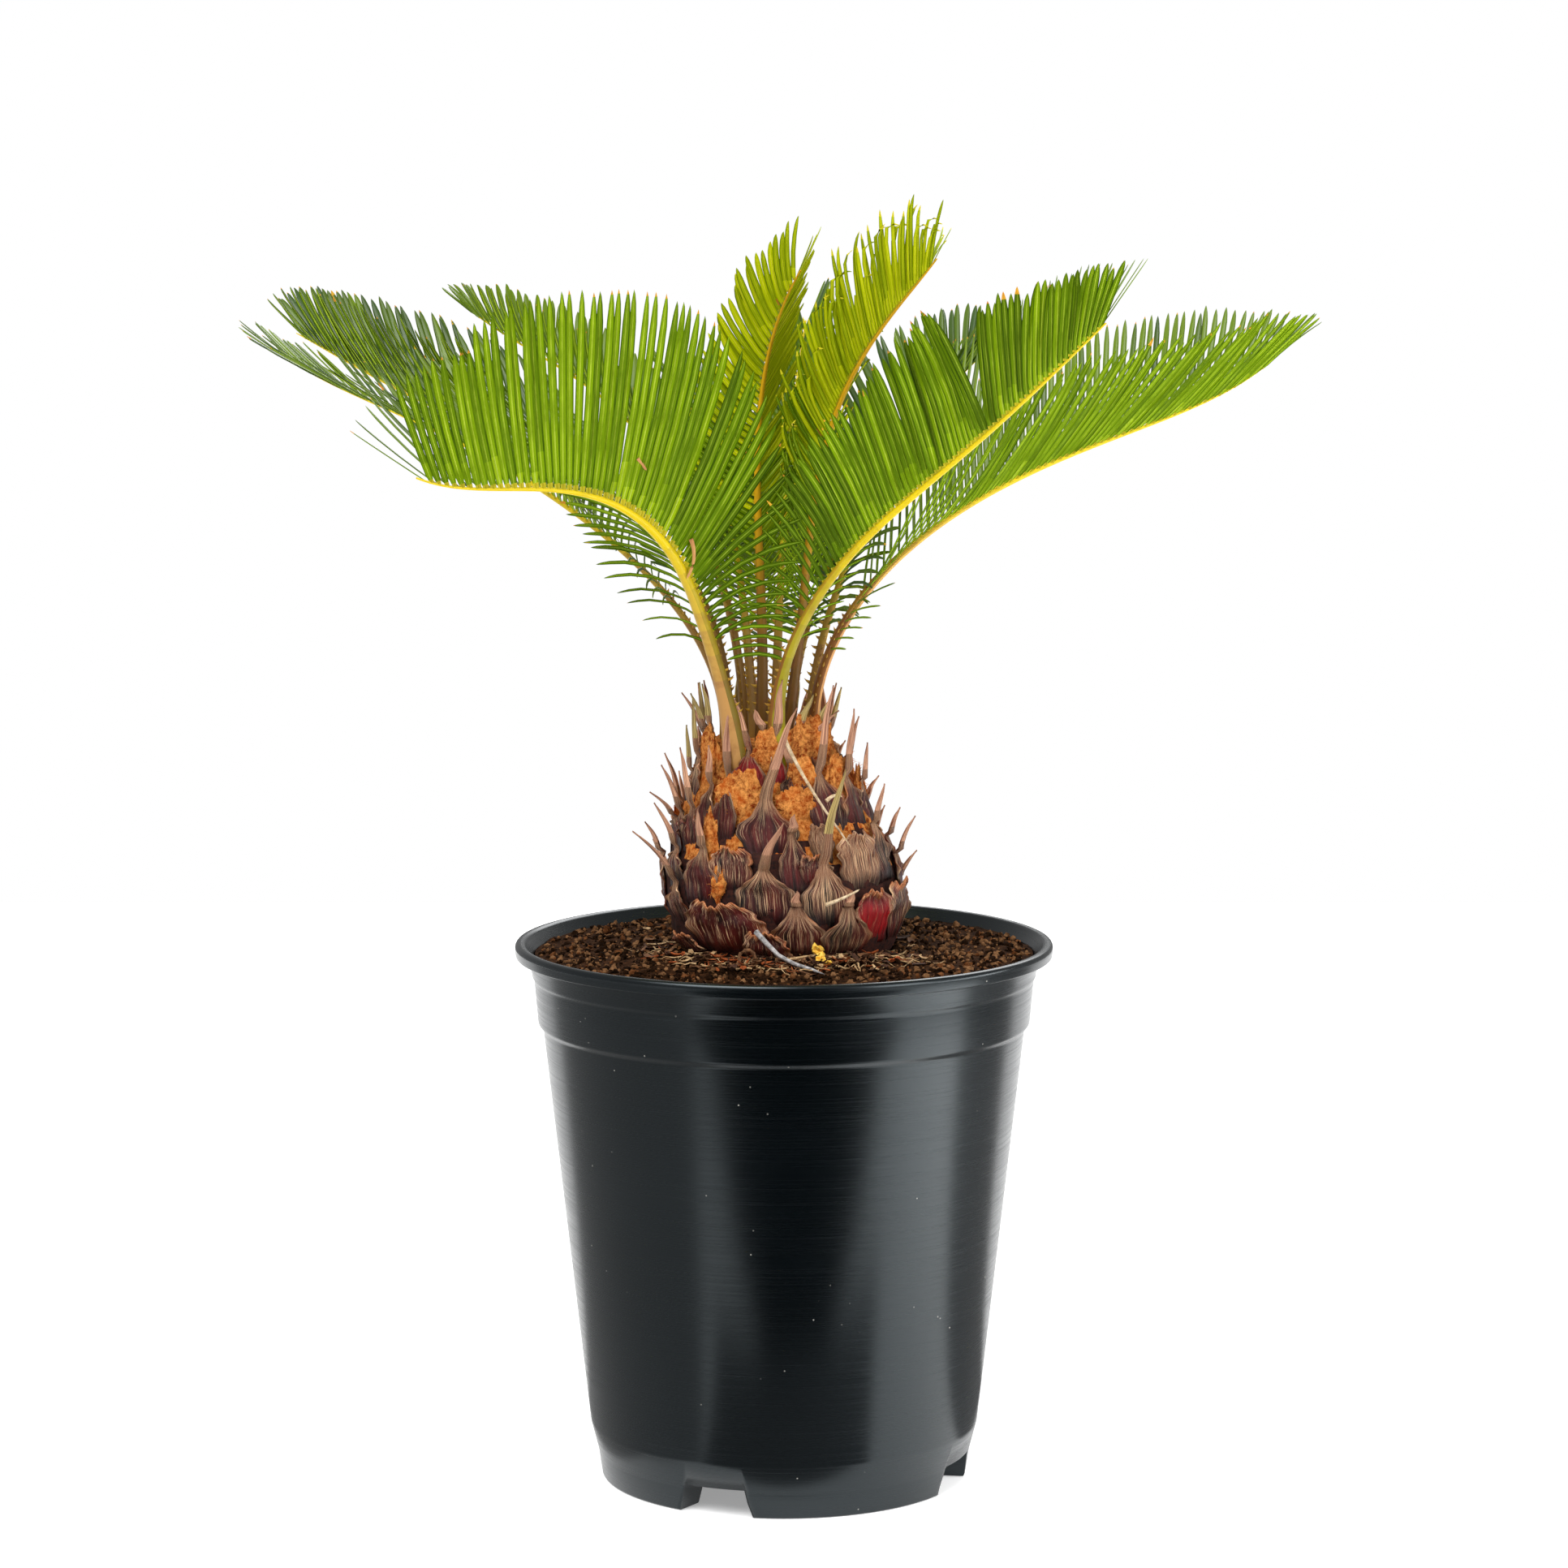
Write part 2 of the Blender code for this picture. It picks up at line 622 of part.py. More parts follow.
def frond_mesh(rib, stations, chosen):
    """The rib as a run of four-sided rings, with leaflets drawn out of its side faces."""
    shares = rib_shares(rib)
    bm = bmesh.new()
    rings = [[bm.verts.new(corner) for corner in rib.ring(share)] for share in shares]
    first_pair = len(shares) - 1 - 2 * len(stations)
    for index, (low, high) in enumerate(zip(rings, rings[1:])):
        number, offset = divmod(index - first_pair, 2)
        on_pair = index >= first_pair and offset == 0 and number < len(stations)
        for corner in range(4):
            after = (corner + 1) % 4
            side = {3: 1, 1: -1}.get(corner)
            if on_pair and side is not None and (side, number) in chosen:
                _, bend, tip = chosen[(side, number)]
                upper, lower = (0, 3) if side > 0 else (1, 2)
                base = [low[lower], high[lower], high[upper], low[upper]]
                draw_leaflet(bm, base, bend, tip)
            else:
                bm.faces.new((low[corner], low[after], high[after], high[corner]))
    bm.faces.new(rings[0][::-1])
    bm.faces.new(rings[-1])
    bmesh.ops.triangulate(bm, faces=bm.faces)
    return bm


def draw_leaflet(bm, base, bend, tip):
    middle = [bm.verts.new(corner) for corner in bend]
    point = bm.verts.new(tip)
    for i in range(4):
        j = (i + 1) % 4
        bm.faces.new((base[i], base[j], middle[j]))
        bm.faces.new((base[i], middle[j], middle[i]))
        bm.faces.new((middle[i], middle[j], point))


def make_fronds(ribs, caudex):
    """Every frond in turn: a later one gives way to those already made."""
    tubes = [tree_of(*tube([rib.ring(share) for share in rib_shares(rib)])) for rib in ribs]
    trees = [tree_of_object(caudex)]
    mat = bpy.data.materials["frond_green"]
    for index, rib in enumerate(ribs):
        stations = leaflet_stations(rib)
        others = trees + tubes[:index] + tubes[index + 1:]
        chosen = choose_leaflets(rib, stations, others)
        object_from(frond_mesh(rib, stations, chosen), rib.frond.name, mat)
        trees.append(tree_of(*triangles(list(chosen.values()))))


def main():
    clear_scene()
    material("frond_green", (0.12, 0.26, 0.03), 0.45)
    make_pot()
    make_soil()
    ribs = [Rib(frond) for frond in FRONDS]
    caudex = make_caudex([socket_cutter(rib) for rib in ribs])
    make_fronds(ribs, caudex)


main()
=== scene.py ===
"""Looks of a potted sago palm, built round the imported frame.

The pot is turned again with finer edges, the soil gets its crumbs and litter, the caudex its
ridged leaf bases, dry spines and orange wool, and every frond is grown again by its own rule
with a round rib and slender leaflets. Lengths are in metres, +Z is up, and the viewer of the
plant stands on the -Y side.
"""

import json
import math
import random
from typing import NamedTuple

import bmesh
import bpy
from mathutils import Matrix, Vector, noise

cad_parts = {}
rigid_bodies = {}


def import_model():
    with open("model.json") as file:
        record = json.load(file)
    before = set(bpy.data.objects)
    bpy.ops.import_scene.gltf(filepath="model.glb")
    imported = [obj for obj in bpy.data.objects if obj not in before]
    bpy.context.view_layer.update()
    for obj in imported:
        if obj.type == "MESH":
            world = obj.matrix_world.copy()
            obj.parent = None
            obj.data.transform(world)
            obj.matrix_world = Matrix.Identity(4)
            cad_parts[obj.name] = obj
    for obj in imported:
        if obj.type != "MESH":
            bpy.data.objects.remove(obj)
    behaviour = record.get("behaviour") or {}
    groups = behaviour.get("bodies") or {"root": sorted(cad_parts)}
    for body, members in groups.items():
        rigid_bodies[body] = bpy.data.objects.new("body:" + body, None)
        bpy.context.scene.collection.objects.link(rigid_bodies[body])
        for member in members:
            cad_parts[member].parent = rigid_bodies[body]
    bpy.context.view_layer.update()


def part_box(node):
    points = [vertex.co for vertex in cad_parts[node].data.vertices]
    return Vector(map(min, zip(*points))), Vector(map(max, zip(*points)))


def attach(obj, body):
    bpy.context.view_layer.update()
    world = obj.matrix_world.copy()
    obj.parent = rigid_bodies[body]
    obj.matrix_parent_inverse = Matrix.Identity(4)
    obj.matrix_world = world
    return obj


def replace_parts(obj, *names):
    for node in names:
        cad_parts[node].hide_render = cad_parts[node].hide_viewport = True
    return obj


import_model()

MM = 0.001
UP = Vector((0.0, 0.0, 1.0))

# Values of the pot: its rim is read from the frame, and its wall steps in from there
POT_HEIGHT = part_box("pot")[1].z
RIM_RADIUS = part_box("pot")[1].x
RIM_FACE = 5.6 * MM
RIM_ROUND = 1.5 * MM
RIM_INNER_RADIUS = RIM_RADIUS - 4.6 * MM
COLLAR_TOP_RADIUS = RIM_RADIUS - 5.8 * MM
COLLAR_RADIUS = RIM_RADIUS - 6.9 * MM
COLLAR_HEIGHT = POT_HEIGHT - 13.6 * MM
BAND_RADIUS = RIM_RADIUS - 9.2 * MM
BAND_HEIGHT = POT_HEIGHT - 32.5 * MM
WALL_TOP_RADIUS = RIM_RADIUS - 11.2 * MM
WALL_TOP_HEIGHT = POT_HEIGHT - 34.5 * MM
WALL_FOOT_RADIUS = 78.4 * MM
WALL_FOOT_HEIGHT = 22 * MM
HEEL_RADIUS = 75.3 * MM
HEEL_HEIGHT = 10 * MM
GROUND_RADIUS = 73.8 * MM
GROOVE = 0.8 * MM
WALL = 2.0 * MM
FLOOR_HEIGHT = 11 * MM
FLOOR = 2.5 * MM
FOOT_INNER_RADIUS = 61 * MM
FOOT_BEARING = -66.5
FEET = 4
SLOT_HALF_ANGLE = 12.6
SLOT_TOP_HALF_ANGLE = 9.6
SLOT_BITE = 0.4 * MM
SLOT_RADII = (50 * MM, 90 * MM)
POT_SEGMENTS = 144
SOFT_EDGE = 0.6 * MM
SOFT_EDGE_STEPS = 3

# Values of the soil
SOIL_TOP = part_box("caudex")[0].z - 0.3 * MM
SOIL_GAP = 0.3 * MM               # between the soil and the pot
SOIL_SEGMENTS = 128
SOIL_RINGS = 34
LUMP = 0.9                        # mm
LUMP_SCALES = (70, 260)           # coarse and fine
DOME = 0.9 * MM                   # height of the middle over the edge
DOME_RADII = (98 * MM, 80 * MM)

# Crumbs of peat on the soil
CRUMBS = 4200
CRUMB_SIZES = (0.5 * MM, 1.7 * MM)
CRUMB_INNER = 40 * MM             # radius from which they lie round the caudex
CRUMB_EDGE = 2.2 * MM             # free strip along the pot's wall
CRUMB_SHARES = (5, 4, 1)          # dark, brown and red
CRUMB_SQUASH = ((0.7, 1.4), (0.6, 1.1), (0.5, 1.0))
CRUMB_DENTS = (0.75, 1.2)

# Litter round the foot of the caudex, heaped up in front of it
LITTER_PILE = 2.2                 # mm
PILE_RADII = (70 * MM, 50 * MM)
PILE_FRONT = (0.3, 0.8)
LITTER_INNER = 45 * MM
LITTER_IN_FRONT = 0.8             # share of it that lies in front
LITTER_BEARINGS = (-88, 26)       # middle and spread of that share
LITTER_BITS = 300
LITTER_FIBRES = 150

# Values of the caudex
TRUNK_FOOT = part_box("caudex")[0].z
TRUNK_HEIGHT = 86 * MM
TRUNK_RADII = ((0.0, 40.0), (0.1, 46.0), (0.27, 47.5), (0.42, 45.5), (0.65, 38.5),
               (0.84, 31.0), (0.95, 26.5), (1.0, 24.0))     # share of the height, mm
TRUNK_FOOT_X = 2 * MM
TRUNK_TOP_X = -6 * MM
SCALES = 54
LOWEST_SCALE = 0.05
HIGHEST_SCALE = 0.95
GOLDEN_ANGLE = 137.508
SPINE_RISES = (10, 24)            # mm
SEED = 11

# Values of the fronds
RIB_STEPS = 96
PETIOLE_HALF = 3.1 * MM
PETIOLE_FLARE = 1.5 * MM
RIB_SIDES = 12
RIB_RINGS = 84
RIB_SHADES = 8
LAST_LEAFLET = 0.985
LEAF_GROWTH = ((0.0, 0.36), (0.1, 0.6), (0.25, 0.92), (0.4, 1.0), (0.6, 0.95), (0.8, 0.8),
               (0.92, 0.62), (1.0, 0.35))     # share of the row, share of the longest leaflet
TIP_FORWARD = 0.2
SPREAD = (88, 66, 60, 26)
OPENING = (15, 55, 50, 50)
GAPS = (3.0, 3.0, 3.4)
STRAIGHT = ((0.0, 0.0), (1.0, 0.0))


class Row(NamedTuple):
    """One row of leaflets. Tables give a value at shares of the row, from foot to tip."""

    wide: float = 1.4             # half-width of a leaflet
    lean: tuple = ()              # where the tips point: degrees from upright towards +X
    bow: tuple = STRAIGHT         # how much less the roots lean
    lengths: tuple = LEAF_GROWTH  # shares of the frond's longest leaflet
    twist: float = 12.0           # how far each leaflet is turned over the next
    loose: float = 1.0            # how much neighbouring leaflets differ
    pitch: float = 1.0            # their spacing, as a share of the frond's
    start: float = 0.004          # share of the row where its first leaflet stands
    # A row's pale step is painted light where its leaflets face away from the lamps.
    pale: int = 0                 # steps by which its tones are paler than the frond's


class Frond(NamedTuple):
    """One frond. Angles are in degrees and lengths in millimetres."""

    name: str
    bearing: float                # compass direction from +X towards +Y
    foot: tuple                   # bearing and radius of the foot in the crown
    foot_height: float
    length: float
    rise: tuple                   # angle above the level along the rib, blended
    leaf: float                   # longest leaflet
    right: Row = Row()            # the row on the right of one who looks from foot to tip
    left: Row = Row()
    turn: float = 0.0             # change of bearing from foot to tip
    spread: tuple = SPREAD        # leaflet's angle to the rib, from foot to tip
    opening: tuple = OPENING      # leaflet's angle above the frond's flat plane
    roll: float = 0.0             # turns the blade about its rib
    bare: float = 0.24            # share of the rib with no leaflets
    stout: float = 0.66           # thickness of the petiole
    fresh: float = 0.45           # 0 is an old dark frond, 1 a young yellow-green one
    curl: float = 0.0             # how far the leaflets' tips hook over
    gaps: tuple = GAPS            # from one leaflet to the next, from foot to tip
    seat: tuple = ()              # bearing and share of the trunk where the petiole starts
    petiole: str = "brown"


FRONT_LEFT_NEAR = Row(
    1.74, twist=10, loose=0.3, start=0.08,
    lean=((0.08, 98), (0.14, 95), (0.175, 86), (0.2, 68), (0.225, 46), (0.245, 31), (0.27, 23),
          (0.31, 17), (0.36, 12), (0.42, 8), (0.5, 5), (0.6, 2), (0.7, 0), (0.8, 0), (0.9, -6),
          (0.96, -11), (1.0, -38)),
    bow=((0.08, 60), (0.175, 54), (0.2, 36), (0.23, 12), (0.27, 0), (1.0, 0)),
    lengths=((0.08, 0.36), (0.145, 0.43), (0.175, 0.52), (0.2, 0.58), (0.225, 0.62),
             (0.245, 0.7), (0.27, 0.78), (0.31, 0.83), (0.36, 0.9), (0.42, 0.94), (0.5, 0.94),
             (0.62, 0.88), (0.7, 0.85), (0.81, 0.74), (0.82, 0.63), (0.9, 0.58), (0.95, 0.5),
             (1.0, 0.38)))
FRONT_LEFT_FAR = Row(
    1.1, pitch=1.45, start=0.07,
    lean=((0.07, -116), (0.15, -108), (0.22, -102), (0.3, -95), (0.4, -86), (0.46, -70),
          (0.52, -50), (0.6, -36), (0.8, -36), (0.93, -44), (1.0, -58)),
    bow=((0.07, -46), (0.3, -50), (0.44, -30), (0.54, 0), (1.0, 0)),
    lengths=((0.07, 0.26), (0.14, 0.36), (0.2, 0.44), (0.3, 0.48), (0.4, 0.52), (0.46, 0.58),
             (0.52, 0.7), (0.6, 0.84), (0.75, 0.78), (0.85, 0.66), (0.93, 0.5), (1.0, 0.34)))
FRONT_RIGHT_NEAR = Row(
    1.62, twist=18, loose=1.6, start=-0.03,
    lean=((-0.03, -114), (0.03, -108), (0.065, -92), (0.09, -64), (0.12, -44), (0.2, -33),
          (0.3, -28), (0.42, -24), (0.55, -25), (0.655, -30), (0.665, -6), (0.75, -2),
          (0.85, 1), (0.93, 8), (1.0, 30)),
    bow=((-0.03, -38), (0.06, -26), (0.2, -22), (0.6, -20), (0.66, 0), (1.0, 0)),
    lengths=((-0.03, 0.4), (0.04, 0.43), (0.07, 0.4), (0.1, 0.54), (0.16, 0.7), (0.25, 0.76),
             (0.4, 0.84), (0.5, 0.9), (0.62, 0.9), (0.66, 0.8), (0.75, 0.72), (0.88, 0.58),
             (0.95, 0.48), (1.0, 0.42)))
# Its pale step is painted light: this row's leaflets face down and away from the lamps.
FRONT_RIGHT_FAR = Row(
    1.0, pitch=1.3, pale=1,
    lean=((0.0, 84), (0.1, 76), (0.2, 58), (0.3, 20), (0.5, 4), (0.8, 10), (0.9, 30), (1.0, 42)),
    bow=((0.0, 44), (0.2, 34), (0.32, 0), (1.0, 0)),
    lengths=((0.0, 0.26), (0.1, 0.36), (0.2, 0.5), (0.35, 0.8), (0.6, 0.85), (0.8, 0.75),
             (1.0, 0.5)))
RIGHT_NEAR = Row(
    1.3, start=-0.13, twist=-18, loose=1.4,
    lean=((-0.13, 100), (-0.04, 84), (0.0, 40), (0.04, 18), (0.12, 14), (0.3, 22), (0.5, 30),
          (0.8, 36), (0.93, 45), (1.0, 54)),
    bow=((-0.13, 34), (-0.02, 24), (0.1, -26), (0.5, -20), (1.0, -6)),
    lengths=((-0.13, 0.12), (-0.04, 0.26), (0.03, 0.62), (0.1, 0.88), (0.3, 0.98), (0.6, 0.92),
             (0.8, 0.8), (0.93, 0.62), (1.0, 0.38)))
RIGHT_FAR = Row(
    1.25, lean=((0.0, 14), (0.2, 4), (0.6, 2), (0.8, 6), (0.93, 24), (1.0, 50)),
    lengths=((0.0, 0.4), (0.2, 0.74), (0.4, 0.84), (0.6, 0.8), (0.8, 0.68), (0.93, 0.5),
             (1.0, 0.34)))
HEART_FRONT_LEFT = Row(
    1.35, loose=2.0, twist=16,
    lean=((0.0, -38), (0.3, -38), (0.5, -34), (0.7, -18), (0.8, -8), (0.9, 0), (1.0, 18)),
    bow=((0.0, 16), (0.5, 20), (0.9, 26), (1.0, 8)),
    lengths=((0.0, 0.5), (0.3, 0.9), (0.5, 0.86), (0.7, 0.76), (0.8, 0.72), (0.9, 0.6),
             (1.0, 0.72)))
# Its pale step is painted light: this row's leaflets face away from the lamps.
HEART_FRONT_RIGHT = Row(
    0.95, loose=1.4, pitch=0.6, pale=1,
    lean=((0.0, 36), (0.5, 32), (0.8, 28), (0.93, 30), (1.0, 26)),
    lengths=((0.0, 0.5), (0.3, 0.84), (0.5, 0.86), (0.8, 0.6), (0.93, 0.5), (1.0, 0.52)))
HEART_RIGHT_LEFT = Row(
    0.85, loose=3.4, pitch=0.7,
    lean=((0.0, -16), (0.3, -13), (0.5, -9), (0.7, -6), (0.9, 0), (1.0, 14)),
    bow=((0.0, 14), (0.5, 18), (1.0, 10)),
    lengths=((0.0, 0.34), (0.3, 0.62), (0.5, 0.78), (0.7, 0.88), (0.8, 0.9), (0.9, 0.74),
             (1.0, 0.44)))
HEART_RIGHT_RIGHT = Row(
    0.95, loose=3.4, pitch=0.8, lean=((0.0, 40), (0.5, 24), (0.8, 14), (1.0, 20)),
    lengths=((0.0, 0.35), (0.5, 0.6), (0.8, 0.56), (1.0, 0.36)))
SLIM = Row(1.2)
BACK_LEFT_ROW = Row(
    1.5, lean=((0.0, -20), (0.5, 0), (0.75, -6), (0.86, -16), (0.94, -40), (1.0, -66)),
    lengths=((0.0, 0.4), (0.25, 0.8), (0.7, 0.74), (0.85, 0.66), (1.0, 0.42)))
LEFT_BACK_ROW = Row(1.5, lean=((0.0, -70), (0.2, -50), (0.4, -30), (0.7, -22), (0.9, -24),
                               (1.0, -48)))

FRONDS = (
    Frond("frond_front_left", 250, (216, 20), 292, 223, (74, 66, 74, 14, -30, 22), 92,
          FRONT_LEFT_FAR, FRONT_LEFT_NEAR, turn=-44, spread=(88, 74, 82, 40),
          opening=(15, 50, 52, 50), roll=-20, bare=0.17, stout=1.1, fresh=0.5,
          gaps=(2.8, 2.8, 2.8, 3.4), seat=(-121, 0.92), petiole="tan"),
    Frond("frond_front_right", 322, (287, 20), 296, 241, (96, 72, 6, 42, 38, 40), 66,
          FRONT_RIGHT_NEAR, FRONT_RIGHT_FAR, bare=0.18, stout=0.86, fresh=0.32,
          gaps=(2.7, 2.6, 2.7), seat=(-83, 0.97), petiole="green"),
    Frond("frond_right", 20, (0, 18), 298, 269, (96, 44, 20, 26, -2, 40), 66,
          RIGHT_NEAR, RIGHT_FAR, stout=0.8, fresh=0.66, gaps=(3.0, 3.2, 3.8), petiole="rosy"),
    Frond("frond_left", 172, (178, 18), 298, 253, (96, 40, 26, 48, -4, 40), 54, SLIM, SLIM,
          spread=(88, 66, 66, 26), opening=(15, 45, 8, 8), fresh=0.35),
    Frond("frond_left_back", 152, (150, 18), 298, 281, (90, 78, 0, 8, 30, 24), 54,
          LEFT_BACK_ROW, LEFT_BACK_ROW, gaps=(3.4, 3.4, 3.4),
          spread=(88, 66, 66, 26), opening=(15, 50, 38, 34), fresh=0.3),
    Frond("frond_back_left", 136, (122, 18), 298, 256, (88, 70, 42, 0, 30), 38,
          BACK_LEFT_ROW, BACK_LEFT_ROW, spread=(88, 66, 66, 26), opening=(15, 45, 40, 40),
          fresh=0.85, gaps=(3.8, 3.8, 4.0)),
    Frond("frond_heart_front", 305, (243, 7), 302, 192, (86, 91, 112, 74, 44), 44,
          HEART_FRONT_LEFT, HEART_FRONT_RIGHT, spread=(85, 70, 64, 26),
          opening=(15, 40, 40, 40), stout=0.8, fresh=0.95, gaps=(2.9, 2.9, 3.2), petiole="amber"),
    Frond("frond_heart_right", 325, (330, 8), 302, 208, (80, 78, 112, 28, 49), 55,
          HEART_RIGHT_LEFT, HEART_RIGHT_RIGHT, spread=(80, 60, 46, 26),
          opening=(15, 40, 40, 40), stout=0.8, fresh=1.0, curl=1.0, gaps=(2.2, 2.2, 2.5),
          petiole="amber"),
    Frond("frond_back_right", 45, (36, 19), 298, 192, (86, 65, 50, 48, 28), 50, fresh=0.25),
    Frond("frond_heart_back", 78, (70, 7), 302, 175, (82, 80, 66, 50), 46, fresh=0.5),
    Frond("frond_heart_left", 112, (140, 8), 302, 172, (82, 76, 46, 20), 40, fresh=0.7),
    Frond("frond_back", 96, (96, 18), 298, 171, (80, 72, 40, 10, 20), 50, fresh=0.3),
    Frond("frond_back_middle", 62, (66, 18), 298, 174, (78, 64, 36, 5, 20), 50, fresh=0.3),
)

# A leaflet's outline, by share of its length, and its section seen along it
LEAF_OUTLINE = ((0.0, 0.6), (0.03, 0.66), (0.09, 0.94), (0.2, 1.0), (0.45, 1.0), (0.7, 0.98),
                (0.85, 0.88), (0.935, 0.6), (0.978, 0.3))
LEAF_SECTION = ((-1.0, -0.34), (-0.5, 0.08), (0.0, 0.0), (0.5, 0.08), (1.0, -0.34),
                (0.7, -0.28), (0.17, -0.2), (0.0, -0.42), (-0.17, -0.2), (-0.7, -0.28))
FACE_SIDES = 4                    # sides of the section on the leaflet's upper face
# Sides at the margins, which take a darker green as painted shade between neighbouring leaflets
SHADED_EDGE_SIDES = (4, 9)
MIDRIB_SIDES = (6, 7)
STREAK_SIDES = (5, 6, 8)


# Small helpers

def colour(red, green, blue):
    """A colour from its 8-bit screen values, as the linear light that a shader takes."""
    def linear(value):
        value /= 255
        return value / 12.92 if value <= 0.04045 else ((value + 0.055) / 1.055)**2.4
    return linear(red), linear(green), linear(blue), 1.0


def blend(values, share):
    """A Bezier curve through control values, at a share from 0 to 1."""
    order = len(values) - 1
    return sum(math.comb(order, i) * share**i * (1 - share)**(order - i) * value
               for i, value in enumerate(values))


def curve(places, steps=10):
    """Stops on the Bezier curve that has these control places."""
    return [[blend(values, step / steps) for values in zip(*places)] for step in range(steps + 1)]


def along(points, share):
    """Read a broken line of (share, value) points at a share."""
    for (start, low), (end, high) in zip(points, points[1:]):
        if share <= end:
            return low + (high - low) * (share - start) / (end - start)
    return points[-1][1]


def ease(low, high, value):
    """0 below low, 1 above high and a smooth step between."""
    part = min(max((value - low) / (high - low), 0.0), 1.0)
    return part * part * (3 - 2 * part)


def wave(shape, place, phase):
    """A sine wave at a place. Its shape is a height and a pace."""
    height, pace = shape
    return height * math.sin(place * pace + phase)


def random_way(rng, spread=1.0):
    """A vector with each of its parts drawn at random."""
    return Vector([rng.gauss(0, spread) for _ in range(3)])


def random_phases(rng):
    """Where three waves start."""
    return [rng.uniform(0, math.tau) for _ in range(3)]


def placed(name, data):
    """A new object in the scene, at the origin."""
    obj = bpy.data.objects.new(name, data)
    bpy.context.scene.collection.objects.link(obj)
    return obj


def shown(name, mesh):
    """Put a mesh in the scene as a piece that rides with the plant."""
    obj = placed(name, mesh)
    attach(obj, "root")
    return obj


def dressed(mesh, materials, smooth_angle):
    """Give a mesh its materials, and round shading but for its sharp edges."""
    for mat in materials:
        mesh.materials.append(mat)
    mesh.shade_smooth()
    mesh.set_sharp_from_angle(angle=math.radians(smooth_angle))
    return mesh


def mesh_from(bm, name, materials, smooth_angle=40):
    """Close off a bmesh as a mesh with these materials."""
    mesh = bpy.data.meshes.new(name)
    bm.to_mesh(mesh)
    bm.free()
    return dressed(mesh, materials, smooth_angle)


class Gathered:
    """Many small closed forms, gathered as points and faces for one joined mesh."""

    def __init__(self, *materials):
        self.materials = materials
        self.points = []
        self.faces = []
        self.finishes = []

    def add(self, points, faces, finishes):
        """Take in one form, with a finish for each of its faces."""
        first = len(self.points)
        self.points += points
        self.faces += [tuple(first + corner for corner in face) for face in faces]
        self.finishes += finishes

    def tube(self, rings, finish, tip=None):
        """Rings of corners joined one to the next, closed at both ends or drawn to a tip."""
        size = len(rings[0])
        points = [corner for ring in rings for corner in ring]
        faces = [tuple(reversed(range(size)))]
        for index in range(len(rings) - 1):
            for i in range(size):
                j = (i + 1) % size
                low = index * size
                faces.append((low + i, low + j, low + size + j, low + size + i))
        last = len(points) - size
        if tip is None:
            faces.append(tuple(range(last, len(points))))
        else:
            points.append(tip)
            faces += [(last + i, last + (i + 1) % size, len(points) - 1) for i in range(size)]
        self.add(points, faces, [finish] * len(faces))

    def mesh(self, name, smooth_angle=40):
        """All the forms as one mesh."""
        mesh = bpy.data.meshes.new(name)
        mesh.from_pydata(self.points, [], self.faces)
        mesh.polygons.foreach_set("material_index", self.finishes)
        return dressed(mesh, self.materials, smooth_angle)


def ring_round(middle, across, out, sides):
    """A round ring of corners, turning from across towards out."""
    step = math.tau / sides
    return [middle + across * math.cos(i * step) + out * math.sin(i * step)
            for i in range(sides)]


def strand(gathered, path, half, finish, sides=5, tip=0.3):
    """A thin tapering strand along a path of points."""
    rings = []
    for index, point in enumerate(path[:-1]):
        way = (path[index + 1] - point).normalized()
        across = way.cross(UP if abs(way.z) < 0.9 else Vector((1, 0, 0))).normalized()
        size = half * (1 - (1 - tip) * index / len(path))
        rings.append(ring_round(point, across * size, across.cross(way) * -size, sides))
    gathered.tube(rings, finish, path[-1])


# Materials

